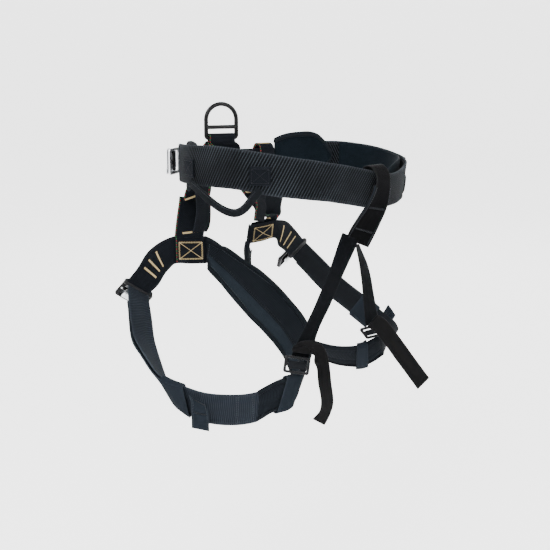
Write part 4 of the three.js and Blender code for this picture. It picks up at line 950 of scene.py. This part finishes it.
# leg straps with their doubled tails, keepers and folded ends
KEEP = {"left": (13, 17), "right": (10, 13)}
TROWS = {"left": 8, "right": 7}
PBAND = {"left": (20, 24), "right": (19, 22)}
for side in ("left", "right"):
    head = into(T["leg_strap_" + side][::-1], T["leg_yoke_" + side], 0.25)[::-1]
    fs = F(into(head, T["leg_pad_" + side][::-1], 0.5), 8)
    FR["strap_" + side] = fs
    # the right leg strap takes the darker charcoal copy: painted shade
    strap_o = put(ribbon("leg_strap_web_" + side, fs, WEB_T, GREY if side == "left" else GREY_SHADED, k=12, wave=0.4, seed=14), "saddle", "webbing_grey", "leg_strap_" + side)
    ftl = F(T["leg_strap_" + side][1:TROWS[side]], 8)
    off = lambda u: -(3.1 + 2.5 * math.sin(math.pi * min(1, u * 1.25)) ** 2 + 2.0 * u * u)
    tl = put(ribbon("leg_tail_web_" + side, ftl, WEB_T, GREY, off=off, k=12, wave=0.2, seed=15), "saddle", "webbing_grey", "leg_strap_tail_" + side)
    a, b = KEEP[side]
    fkp = F(T["leg_strap_" + side], 2).cut(a, b)
    # keeper: a short tube of webbing round both layers
    V, UV, ED, Fs = [], [], [], []
    fine = F([[*fkp.c[j], *fkp.w[j], fkp.half[j] * 2] for j in range(len(fkp.c))], 5)
    lo, hi, wid, wall = -3.1 - WEB_T / 2 - 2.8, WEB_T / 2 + 0.9, 22.5, 1.5
    def loop(w, y0, y1, r, k=4):
        pts = []
        for (cx, cy, a0) in ((w - r, y0 + r, -90), (w - r, y1 - r, 0), (-w + r, y1 - r, 90), (-w + r, y0 + r, 180)):
            for q in range(k + 1):
                an = math.radians(a0 + 90 * q / k)
                pts.append((cx + r * math.cos(an), cy + r * math.sin(an)))
        return pts
    ro, ri = loop(wid + wall, lo - wall, hi + wall, 3.0), loop(wid, lo, hi, 1.8)
    m = len(ro)
    for i2 in range(len(fine.c)):
        for ring_ in (ro, ri):
            acc = 0
            for j, (x, y) in enumerate(ring_):
                if j: acc += math.hypot(x - ring_[j - 1][0], y - ring_[j - 1][1])
                V.append(fine.c[i2] + fine.w[i2] * x + fine.n[i2] * y); UV.append((acc * MM, fine.s[i2] * MM)); ED.append((fine.s[i2] / fine.s[-1], 0.5))
    n2 = len(fine.c)
    for i2 in range(n2 - 1):
        for j in range(m):
            p, q = i2 * 2 * m + j, i2 * 2 * m + (j + 1) % m
            Fs.append((p, q, q + 2 * m, p + 2 * m))
            Fs.append((p + m, p + 3 * m, q + 3 * m, q + m))
    for j in range(m):
        p, q = j, (j + 1) % m
        Fs.append((p, p + m, q + m, q))
        o2 = (n2 - 1) * 2 * m
        Fs.append((o2 + p, o2 + q, o2 + q + m, o2 + p + m))
    put(new_mesh("keeper_web_" + side, V, Fs, KEEPM, UV, ED), "saddle", "webbing_grey", "leg_strap_keeper_" + side)
    fe = F(T["leg_tail_end_" + side], 8)
    FR["tailend_" + side] = fe
    te = put(ribbon("tail_fold_" + side, fe, 4.2, KEEPM, k=8, wave=0.2, seed=16), "saddle", "webbing_grey", "leg_tail_end_" + side)
    # band round the rear of the pad
    fpb = F(T["leg_pad_" + side], 2)
    a, b = PBAND[side]
    fpb = fpb.cut(a, b)
    wide = max(fpb.half) * 2 + 1.6
    fine = F([[*fpb.c[j], *fpb.w[j], fpb.half[j] * 2] for j in range(len(fpb.c))], 5)
    V, UV, ED, Fs = [], [], [], []
    ro, ri = loop(wide / 2 + 1.6, -PAD_T / 2 - 2.4, PAD_T / 2 + 2.4, 4.6), loop(wide / 2, -PAD_T / 2 - 0.8, PAD_T / 2 + 0.8, 3.2)
    for i2 in range(len(fine.c)):
        for ring_ in (ro, ri):
            acc = 0
            for j, (x, y) in enumerate(ring_):
                if j: acc += math.hypot(x - ring_[j - 1][0], y - ring_[j - 1][1])
                V.append(fine.c[i2] + fine.w[i2] * x + fine.n[i2] * y); UV.append((acc * MM, fine.s[i2] * MM)); ED.append((fine.s[i2] / fine.s[-1], 0.5))
    n2 = len(fine.c)
    for i2 in range(n2 - 1):
        for j in range(m):
            p, q = i2 * 2 * m + j, i2 * 2 * m + (j + 1) % m
            Fs.append((p, q, q + 2 * m, p + 2 * m))
            Fs.append((p + m, p + 3 * m, q + 3 * m, q + m))
    for j in range(m):
        p, q = j, (j + 1) % m
        Fs.append((p, p + m, q + m, q))
        o2 = (n2 - 1) * 2 * m
        Fs.append((o2 + p, o2 + q, o2 + q + m, o2 + p + m))
    put(new_mesh("pad_band_web_" + side, V, Fs, KEEPM, UV, ED), "saddle", "webbing_grey", "pad_band_" + side)

# rear hanger, rear straps and their tails
fhg = F(T["rear_hanger"], 8)
put(ribbon("hanger_web", fhg, 2.0, HANGM, k=9, wave=0.5, seed=20), "saddle", "webbing_black", "rear_hanger")
for side in ("left", "right"):
    rows_ = T["rear_strap_" + side]
    up_ = [rows_[0][q] - 0.55 * (rows_[1][q] - rows_[0][q]) if q < 3 else rows_[0][q] for q in range(7)]
    k_ = 6.0 / math.dist(up_[:3], rows_[0][:3])
    up_ = [rows_[0][q] + (up_[q] - rows_[0][q]) * k_ if q < 3 else rows_[0][q] for q in range(7)]
    frs = F([up_] + list(rows_), 10)
    FR["rs_" + side] = frs
    # rear straps take the darker copy of the black webbing: painted shade
    put(ribbon("rear_strap_web_" + side, frs, THIN_T, RSTRAP_SHADED, k=8, wave=0.4, seed=21), "saddle", "webbing_black", "rear_strap_" + side)
    frt = F(T["rear_tail_" + side], 10)
    FR["rt_" + side] = frt
    tail = put(ribbon("rear_tail_web_" + side, frt, THIN_T, TAILM, k=8, wave=0.3, seed=22), "rear_tail_" + side, "webbing_grey", "rear_tail_" + side)

# gear loops: webbing folded to a narrow strip, with end tabs
for side in ("left", "right"):
    fg = F(T["gear_loop_" + side], 8)
    put(ribbon("gear_loop_web_" + side, fg, 3.6, LOOPM, k=5, wave=0.15, seed=30), "gear_loop_" + side, "loop_webbing", "gear_loop_" + side)
    gth = Thread("gear_loop_stitch_" + side, LTHR, "gear_loop_" + side)
    for hh in (1.9, -1.9):
        gth.line(fg, 5, fg.s[-1] - 5, 3.4, 3.4, hh, pitch=3.0, r=0.22)
    gth.done("loop_webbing")
    for end in ("front", "rear"):
        ft = F(T["gear_tab_%s_%s" % (end, side)], 5)
        put(ribbon("gear_tab_web_%s_%s" % (end, side), ft, 1.8, BLACK, k=6, wave=0.1, seed=31), "saddle", "loop_webbing", "gear_tab_%s_%s" % (end, side))
        g = ft.s[-1]
        for hh in (1.0, -1.0):
            black.xbox(ft, 2.5, g - 2.5, -9.5, 9.5, hh, r=0.26, pitch=2.6)

# ---------------------------------------------------------------- sewing on the webbing
HW = WEB_T / 2 + 0.05
def both(fn):
    for hh in (HW, -HW): fn(hh)
RL, RR_ = FR["riser_left"], FR["riser_right"]
YL, YR = FR["yoke_left"], FR["yoke_right"]
both(lambda h: tan.tack(RL, 53, -11, 19, h, wide=3.0, slant=-3))
both(lambda h: tan.xbox(RL, 71, 97, -17.5, 20, h, r=0.42, pitch=2.6))
both(lambda h: tan.xbox(RL, 72.2, 95.8, -16.3, 18.8, h, r=0.34, pitch=2.6))
for (s0, s1) in ((55, 59), (43.8, 43), (31.3, 29.6)):
    both(lambda h: tan.tack(YL, (s0 + s1) / 2, 12.5, -11.5, h, wide=3.2, slant=(s0 - s1)))
both(lambda h: tan.tack(RR_, 40, -9, 15, h, wide=3.0, slant=-8))
both(lambda h: tan.xbox(RR_, 57, 86, -17, 17, h, r=0.40, pitch=2.6))
both(lambda h: tan.xbox(YR, 93, 126, -17, 14, h, r=0.42, pitch=2.6))
both(lambda h: tan.xbox(YR, 94.2, 124.8, -15.8, 12.8, h, r=0.34, pitch=2.6))
for (s0, s1) in ((60, 73), (43, 46), (26, 29)):
    both(lambda h: tan.tack(YR, (s0 + s1) / 2, 12.5, -15, h, wide=3.2, slant=(s0 - s1) * 0.6))
both(lambda h: tan.tack(fdl, 113.5, -20, 1, h, wide=3.2, slant=-3.5))
both(lambda h: tan.tack(fdr, fdr.s[-1] - 5, -18, 18, h, wide=3.0))
# the two ring straps are sewn together just below the ring
both(lambda h: black.xbox(fdl, 8, 38, -18, 18, h, r=0.34, pitch=2.8))
both(lambda h: black.xbox(fdr, fdr.s[-1] * 0.42, fdr.s[-1] * 0.42 + 30, -17, 17, h, r=0.34, pitch=2.8))
# tracer threads along one edge
def tracer(fr, v, s0, s1, r=0.29):
    k = int((s1 - s0) / 3.1)
    for hh in (HW, -HW):
        for i in range(k):
            a = s0 + (s1 - s0) * (i + 0.06) / k; b = s0 + (s1 - s0) * (i + 0.80) / k
            vv = lambda s: v * np.interp(s, fr.s, fr.half) / fr.half[0]
            n_ = fr.at(a, vv(a), hh + 1) - fr.at(a, vv(a), hh)
            (red if i % 2 else green).seg(fr.at(a, vv(a), hh), fr.at(b, vv(b), hh), n_ * (1 if hh > 0 else -1), r)
tracer(RL, -21.2, 2, RL.s[-1] - 1)
tracer(RR_, -21.2, 2, RR_.s[-1] - 1)
tracer(fdr, -19.6, 3, fdr.s[-1] - 2)
tracer(fdl, -20.8, 2, fdl.s[-1] - 2)
FTR, FTL = FR["tunnel_right"], FR["tunnel_left"]
tracer(FTR, -11.2, 4, FTR.s[-1] - 3)
tracer(FTL, 16.6, 4, FTL.s[-1] - 3)
both(lambda h: tan.tack(FTR, 26, -9, 9, h, wide=2.6))
both(lambda h: tan.tack(FTL, 26, -12, 12, h, wide=2.6))
# yoke edges and the ends where pad and strap join
for yy in (YL, YR):
    for v in (18.6, -18.6):
        both(lambda h: black.line(yy, 3, yy.s[-1] - 3, v, v, h, pitch=3.6, r=0.24))
for side in ("left", "right"):
    fs = FR["strap_" + side]
    L = F(T["leg_strap_" + side], 8).s[-1] + F(into(T["leg_strap_" + side][::-1], T["leg_yoke_" + side], 0.25)[::-1], 8).s[8]
    for ds in (3.5, 6.0):
        both(lambda h: grey.line(fs, L - ds, L - ds + 0.01, -18, 18, h, pitch=3.0, r=0.26))
        both(lambda h: grey.line(fs, L - 22 - ds, L - 22 - ds + 0.01, -18, 18, h, pitch=3.0, r=0.24))
    te = FR["tailend_" + side]
    for v in (-9.5, 9.5):
        for hh in (2.2, -2.2):
            grey.line(te, 3, te.s[-1] - 2, v, v, hh, pitch=3.0, r=0.24)
    for s_ in (6, te.s[-1] * 0.5):
        for hh in (2.2, -2.2):
            black.tack(te, s_, -8, 8, hh, wide=2.0, r=0.26)

# belt ends: a folded edge of tape sewn over the webbing
for (nm, i0, sg) in (("belt_end_roll_left", 0, -1), ("belt_end_roll_right", -1, 1)):
    c0, w0, t0, n0, h0 = fb.c[i0], fb.w[i0], fb.t[i0], fb.n[i0], fb.half[i0]
    path = [c0 + w0 * x + t0 * sg * 0.2 for x in np.linspace(-h0 * 0.98, h0 * 0.98, 22)]
    rr_ = [2.4 * (1 if 0 < j < 21 else 0.6) + 0.12 * math.sin(j * 1.9) for j in range(22)]
    put(tube(nm, path, rr_, BIND, sides=14, up=n0), "saddle", "webbing_black")

# rear hanger: extra folded layers sewn round the strap fold, edges showing
for q, (o_, s_) in enumerate(((2.3, 0.0), (4.5, 3.0))):
    fx = fhg.cut(int(len(fhg.c) * 0.56), len(fhg.c) - (0 if q == 0 else 2))
    put(ribbon("hanger_fold_%d" % q, fx, 1.9, (KEEPM, HANGM)[q], off=lambda u, o_=o_: o_ + 0.5 * math.sin(u * 3.1), k=9, wave=0.2, seed=40 + q), "saddle", "webbing_black")
fx = fhg.cut(int(len(fhg.c) * 0.56), len(fhg.c))
for v in (-14.0, 14.0):
    for hh in (5.6, -1.1):
        grey.line(fx, 2, fx.s[-1] - 3, v, v, hh, pitch=2.8, r=0.3)
for s_ in (fx.s[-1] * 0.35, fx.s[-1] * 0.75):
    black.tack(fx, s_, -12, 12, 5.5, wide=3.0)
    black.tack(fx, s_, -12, 12, -1.1, wide=3.0)

# ---------------------------------------------------------------- metal
def place_plate(name, outline, holes, t, o, ex, ey, mat, bevel=0.6, body="saddle", slot="steel", node=None, seg=3):
    cu = bpy.data.curves.new(name + "_c", "CURVE")
    cu.dimensions = "2D"; cu.fill_mode = "BOTH"
    cu.extrude = max(t / 2 - bevel, 0.05) * MM
    cu.bevel_depth = bevel * MM; cu.bevel_resolution = seg; cu.offset = -bevel * MM
    for pts in [outline] + list(holes):
        sp = cu.splines.new("POLY")
        sp.points.add(len(pts) - 1)
        for k_, (x, y) in enumerate(pts): sp.points[k_].co = (x * MM, y * MM, 0, 1)
        sp.use_cyclic_u = True
    tmp = bpy.data.objects.new(name + "_t", cu)
    COL.objects.link(tmp)
    dg = bpy.context.evaluated_depsgraph_get()
    me = bpy.data.meshes.new_from_object(tmp.evaluated_get(dg))
    bpy.data.objects.remove(tmp); bpy.data.curves.remove(cu)
    me.name = name
    ex = unit(ex); ez = unit(np.cross(ex, ey)); ey2 = np.cross(ez, ex)
    M4 = Matrix(((ex[0], ey2[0], ez[0], o[0] * MM), (ex[1], ey2[1], ez[1], o[1] * MM), (ex[2], ey2[2], ez[2], o[2] * MM), (0, 0, 0, 1)))
    me.transform(M4)
    me.materials.clear(); me.materials.append(mat)
    ob = bpy.data.objects.new(name, me); COL.objects.link(ob)
    import bmesh
    bm = bmesh.new(); bm.from_mesh(me); bmesh.ops.remove_doubles(bm, verts=bm.verts, dist=1e-5); bmesh.ops.recalc_face_normals(bm, faces=bm.faces); bm.to_mesh(me); bm.free()
    for p in me.polygons: p.use_smooth = True
    me.set_sharp_from_angle(angle=math.radians(35))
    put(ob, body, slot, *([node] if node else []))
    return ob

def rr(x0, y0, x1, y1, r, k=6):
    pts = []
    for (cx, cy, a0) in ((x1 - r, y0 + r, -90), (x1 - r, y1 - r, 0), (x0 + r, y1 - r, 90), (x0 + r, y0 + r, 180)):
        for q in range(k + 1):
            a = math.radians(a0 + 90 * q / k)
            pts.append((cx + r * math.cos(a), cy + r * math.sin(a)))
    return pts

def rod(name, a, b, r, mat, body="saddle", slot="dark_steel", node=None, knurl=0, endr=1.0):
    """A turned bar with rounded ends; knurl cuts grooves along its middle."""
    a, b = V3(*a), V3(*b)
    L = np.linalg.norm(b - a); d = (b - a) / L
    ks, rs = [], []
    for (k_, q) in ((0, 0.55), (0.3, 0.85), (0.9, 1.0)):
        ks.append(k_); rs.append(r * q)
    if knurl:
        x = 3.0
        while x < L - 3:
            ks += [x, x + 0.35]; rs += [r, r * 0.9]
            x += knurl
    for (k_, q) in ((L - 0.9, 1.0), (L - 0.3, 0.85), (L, 0.55)):
        ks.append(k_); rs.append(r * q)
    P = [a + d * k_ for k_ in ks]
    o = tube(name, P, rs, mat, sides=20)
    return put(o, body, slot, *([node] if node else []))

# D-ring: one bent round rod, a welded crossbar and the bar that carries the webbing
Wd, Hd, rd = 54 / 2 - 2.75, 57.5 - 2.75, 3.35
pth = []
def arc(cx, cy, r, a0, a1, n):
    for q in range(n + 1):
        a = math.radians(a0 + (a1 - a0) * q / n)
        pth.append((cx + r * math.cos(a), cy + r * math.sin(a)))
arc(0, Hd - Wd, Wd, 0, 180, 30)
for z in (24, 18, 12): pth.append((-Wd, z))
arc(-Wd + 4, 2.75 + 4, 4, 180, 270, 6)
for x in (-14, -7, 0, 7, 14): pth.append((x, 2.75))
arc(Wd - 4, 2.75 + 4, 4, 270, 360, 6)
for z in (12, 18, 24): pth.append((Wd, z))
P3 = [ringO + ringX * x + V3(0, 0, z) for (x, z) in pth]
ring = tube("ring_body", P3, rd, DARK, closed=True, sides=22, up=ringN)
put(ring, "d_ring", "dark_steel", "d_ring")
z0 = 19.4
cb = tube("ring_crossbar", [ringO + ringX * x + V3(0, 0, z0) for x in (-Wd, -Wd + 1, -Wd + 3, -10, 0, 10, Wd - 3, Wd - 1, Wd)], [3.5, 3.4, 3.2, 3.15, 3.15, 3.15, 3.2, 3.4, 3.5], DARK, sides=20)
put(cb, "d_ring", "dark_steel")

# leg buckles
for side in ("left", "right"):
    yk = F(T["leg_yoke_" + side], 1)
    sx = 1 if side == "left" else -1
    w0 = yk.w[0]
    out = V3(0.52 * sx, -0.56, -0.65); out = unit(out - w0 * (out @ w0))
    nn = unit(np.cross(w0, out))
    o = yk.c[0] + out * 13 + V3(-10.2 * sx, -9.6, -3.0)
    place_plate("leg_buckle_plate_" + side, rr(-26, -15, 26, 15, 4.5), [rr(-21.5, -11, 21.5, 11, 2.4)], 3.6, o, w0, out, BLKP, bevel=1.1, slot="dark_steel", node="leg_buckle_frame_" + side)
    rod("leg_buckle_slide_" + side, o - w0 * 21, o + w0 * 21, 2.6, DARK, body="leg_buckle_bar_" + side, node="leg_buckle_bar_" + side, knurl=1.3)
    # pressed ears that guide the bar
    for e in (-1, 1):
        place_plate("leg_buckle_ear_%s_%d" % (side, (e + 1) // 2), rr(-3.2, -12.5, 3.2, 12.5, 2.2), [], 3.0, o + w0 * e * 23.4 + nn * 1.9, w0, out, BLKP, bevel=0.9)
        rod("leg_buckle_rivet_%s_%d" % (side, (e + 1) // 2), o + w0 * e * 23.4 + nn * 2.2, o + w0 * e * 23.4 + nn * 4.4, 1.7, STEEL, slot="steel")

def curved_plate(name, o, ex, ey, w, h, bow, t, mat, body="saddle", slot="steel", n=14):
    """A pressed plate, w along ex and h along ey, bowed along ey."""
    ex, ey = unit(ex), unit(ey); ez = unit(np.cross(ex, ey)); ey = np.cross(ez, ex)
    V, Fs = [], []
    m = 16
    for side_ in (1, -1):
        for i in range(n + 1):
            y = -1 + 2 * i / n
            for j in range(m + 1):
                x = -1 + 2 * j / m
                rx = w / 2 * (1 - 0.10 * max(0, abs(y) - 0.7) / 0.3 * (abs(x) > 0.9))
                k_ = 1.0 if abs(x) < 0.94 and abs(y) < 0.92 else 0.45
                z = bow * (1 - y * y) + side_ * t / 2 * k_ + (0.5 * math.exp(-((abs(x) - 0.55) / 0.08) ** 2) if side_ > 0 else 0)
                V.append(V3(*o) + ex * x * rx + ey * y * h / 2 + ez * z)
    A = (n + 1) * (m + 1)
    for i in range(n):
        for j in range(m):
            a = i * (m + 1) + j
            Fs.append((a, a + 1, a + m + 2, a + m + 1))
            Fs.append((A + a, A + a + m + 1, A + a + m + 2, A + a + 1))
    for i in range(n):
        for j, fl_ in ((0, 0), (m, 1)):
            a, b_ = i * (m + 1) + j, (i + 1) * (m + 1) + j
            q = (a, b_, A + b_, A + a)
            Fs.append(q if not fl_ else q[::-1])
    for j in range(m):
        for i, fl_ in ((0, 1), (n, 0)):
            a, b_ = i * (m + 1) + j, i * (m + 1) + j + 1
            q = (a, b_, A + b_, A + a)
            Fs.append(q if not fl_ else q[::-1])
    ob = new_mesh(name, V, Fs, mat)
    ob.data.set_sharp_from_angle(angle=math.radians(50))
    return put(ob, body, slot)

for side in ("left", "right"):
    yk = F(T["leg_yoke_" + side], 1)
    sx = 1 if side == "left" else -1
    w0 = yk.w[0]
    out = V3(0.52 * sx, -0.56, -0.65); out = unit(out - w0 * (out @ w0))
    nn = unit(np.cross(w0, out))
    o = yk.c[0] + out * 13 + V3(-10.2 * sx, -9.6, -3.0)
    fwd = V3(0, -1, -0.15) @ nn
    sg = 1 if fwd > 0 else -1
    curved_plate("leg_buckle_cover_" + side, o + nn * sg * 4.4 + out * 3.0, w0 * sg, out, 38, 25, 3.2, 1.5, STEEL)
    curved_plate("leg_buckle_back_" + side, o - nn * sg * 4.1 + out * 4.5, w0 * -sg, out, 34, 15, 2.4, 1.4, STEEL)

# a black clasp across the webbing where each leg strap meets its yoke
for side in ("left", "right"):
    yk = F(T["leg_yoke_" + side], 1)
    st_ = F(T["leg_strap_" + side], 1)
    mid_ = (yk.c[0] + st_.c[0]) / 2
    place_plate("leg_buckle_clasp_" + side, rr(-25, -4.6, 25, 4.6, 3.0), [], 6.4, mid_, yk.w[0], yk.t[0], BLKP, bevel=1.6, slot="dark_steel")

# ladder locks
for side in ("left", "right"):
    rs = F(T["rear_strap_" + side], 1)
    c, t, n, w = rs.c[-1], rs.t[-1], rs.n[-1], rs.w[-1]
    lo = c + t * 12.5 + n * {"left": 5, "right": 4.2}[side]
    place_plate("ladder_lock_plate_" + side, rr(-18, -12, 18, 12, 3.4), [rr(-14, -8.5, 14, -1.8, 1.4), rr(-14, 1.8, 14, 8.5, 1.4)], 3.4, lo, w, -t, BLKP, bevel=0.9, slot="dark_steel", body="ladder_lock_" + side, node="ladder_lock_" + side)
    rod("ladder_lock_tooth_" + side, lo - w * 14.5 + n * 1.0, lo + w * 14.5 + n * 1.0, 2.1, BLKP, body="ladder_lock_" + side, slot="dark_steel", knurl=1.1)

    # webbing turned round the lock's middle bar
    ks_ = np.linspace(-12.4, 12.4, 9)
    # the turn uses the darker copy of the black strap webbing: painted shade
    put(tube("ladder_lock_turn_" + side, [lo + w * q + n * 0.4 for q in ks_], [4.6] + [5.2] * 7 + [4.6], RSTRAP_SHADED, sides=18, flat=0.62, up=-n), "ladder_lock_" + side, "webbing_black")

# belt buckle
hB = unit(V3(0.906, 0.424, 0)); oB = V3(134, -106, 14); nB = unit(np.cross(V3(0, 0, 1), hB))
place_plate("belt_buckle_plate", rr(-19, -18, 19, 18, 4.5), [rr(-14.5, -14, 14.5, 14, 2.4)], 3.0, oB, V3(0, 0, 1), hB, STEEL, bevel=0.9, node="belt_buckle_frame")
rod("belt_buckle_slide", oB - V3(0, 0, 14), oB + V3(0, 0, 14), 2.4, DARK, body="belt_buckle_bar", node="belt_buckle_bar", knurl=1.2)

sgB = 1 if nB @ V3(0.7, -0.7, 0) > 0 else -1
curved_plate("belt_buckle_cover", oB + nB * sgB * 3.4 + V3(0, 0, 3.0) + hB * 1.0, V3(0, 0, 1) * sgB, hB, 30, 34, 3.4, 1.6, STEEL)
curved_plate("belt_buckle_lower", oB + nB * sgB * 4.4 + V3(0, 0, -13.0) + hB * 2.0, V3(0, 0, 1) * sgB, hB, 10, 32, 2.2, 1.4, STEEL)
for t_ in (tan, red, green, grey, black): t_.done()

# ---------------------------------------------------------------- stage and light
import bmesh
fl_me = bpy.data.meshes.new("floor")
bm = bmesh.new()
prof = [(0.0, -0.62), (1.5, -0.62), (3.2, -0.62)]
for q in range(1, 13):
    a = math.radians(-90 + 90 * q / 12)
    prof.append((3.2 + 1.8 * math.cos(a), -0.62 + 1.8 + 1.8 * math.sin(a)))
prof.append((5.0, 4.5))
rings = []
for (r0, z) in prof:
    if r0 == 0: rings.append([bm.verts.new((0, 0, z))]); continue
    rings.append([bm.verts.new((r0 * math.cos(2 * math.pi * j / 96), r0 * math.sin(2 * math.pi * j / 96), z)) for j in range(96)])
for i in range(len(rings) - 1):
    for j in range(96):
        a, b = rings[i], rings[i + 1]
        if len(a) == 1: bm.faces.new((a[0], b[j], b[(j + 1) % 96]))
        else: bm.faces.new((a[j], b[j], b[(j + 1) % 96], a[(j + 1) % 96]))
bm.to_mesh(fl_me); bm.free()
for p in fl_me.polygons: p.use_smooth = True
floor = bpy.data.objects.new("floor", fl_me); COL.objects.link(floor)
fm, nt, b = tree("floor_pale")
b.inputs["Base Color"].default_value = (0.90, 0.90, 0.90, 1); b.inputs["Roughness"].default_value = 0.95; b.inputs["Specular IOR Level"].default_value = 0.1
b.inputs["Emission Color"].default_value = (1, 1, 1, 1); b.inputs["Emission Strength"].default_value = 0.80
fl_me.materials.append(fm)

w = bpy.data.worlds.new("world"); bpy.context.scene.world = w; w.use_nodes = True
bg = w.node_tree.nodes.get("Background") or w.node_tree.nodes.new("ShaderNodeBackground")
bg.inputs[0].default_value = (1, 1, 1, 1); bg.inputs[1].default_value = 1.15

def area(name, loc, target, size, power, color=(1, 1, 1)):
    l = bpy.data.lights.new(name, "AREA"); l.shape = "RECTANGLE"; l.size = size[0]; l.size_y = size[1]; l.energy = power; l.color = color
    o = bpy.data.objects.new(name, l); COL.objects.link(o)
    o.location = loc; o.rotation_euler = (Vector(target) - Vector(loc)).to_track_quat("-Z", "Y").to_euler()
    return o
area("key", (2.4, 0.6, 1.7), (0, 0, -0.1), (1.6, 1.6), 90)
area("fill", (0.2, 2.6, 0.9), (0, 0, -0.1), (1.8, 1.6), 45)
area("top", (0.2, -0.2, 2.6), (0, 0, 0), (2.2, 2.2), 60)
area("back", (-2.2, -1.8, 1.6), (0, 0, 0), (1.6, 1.4), 50)
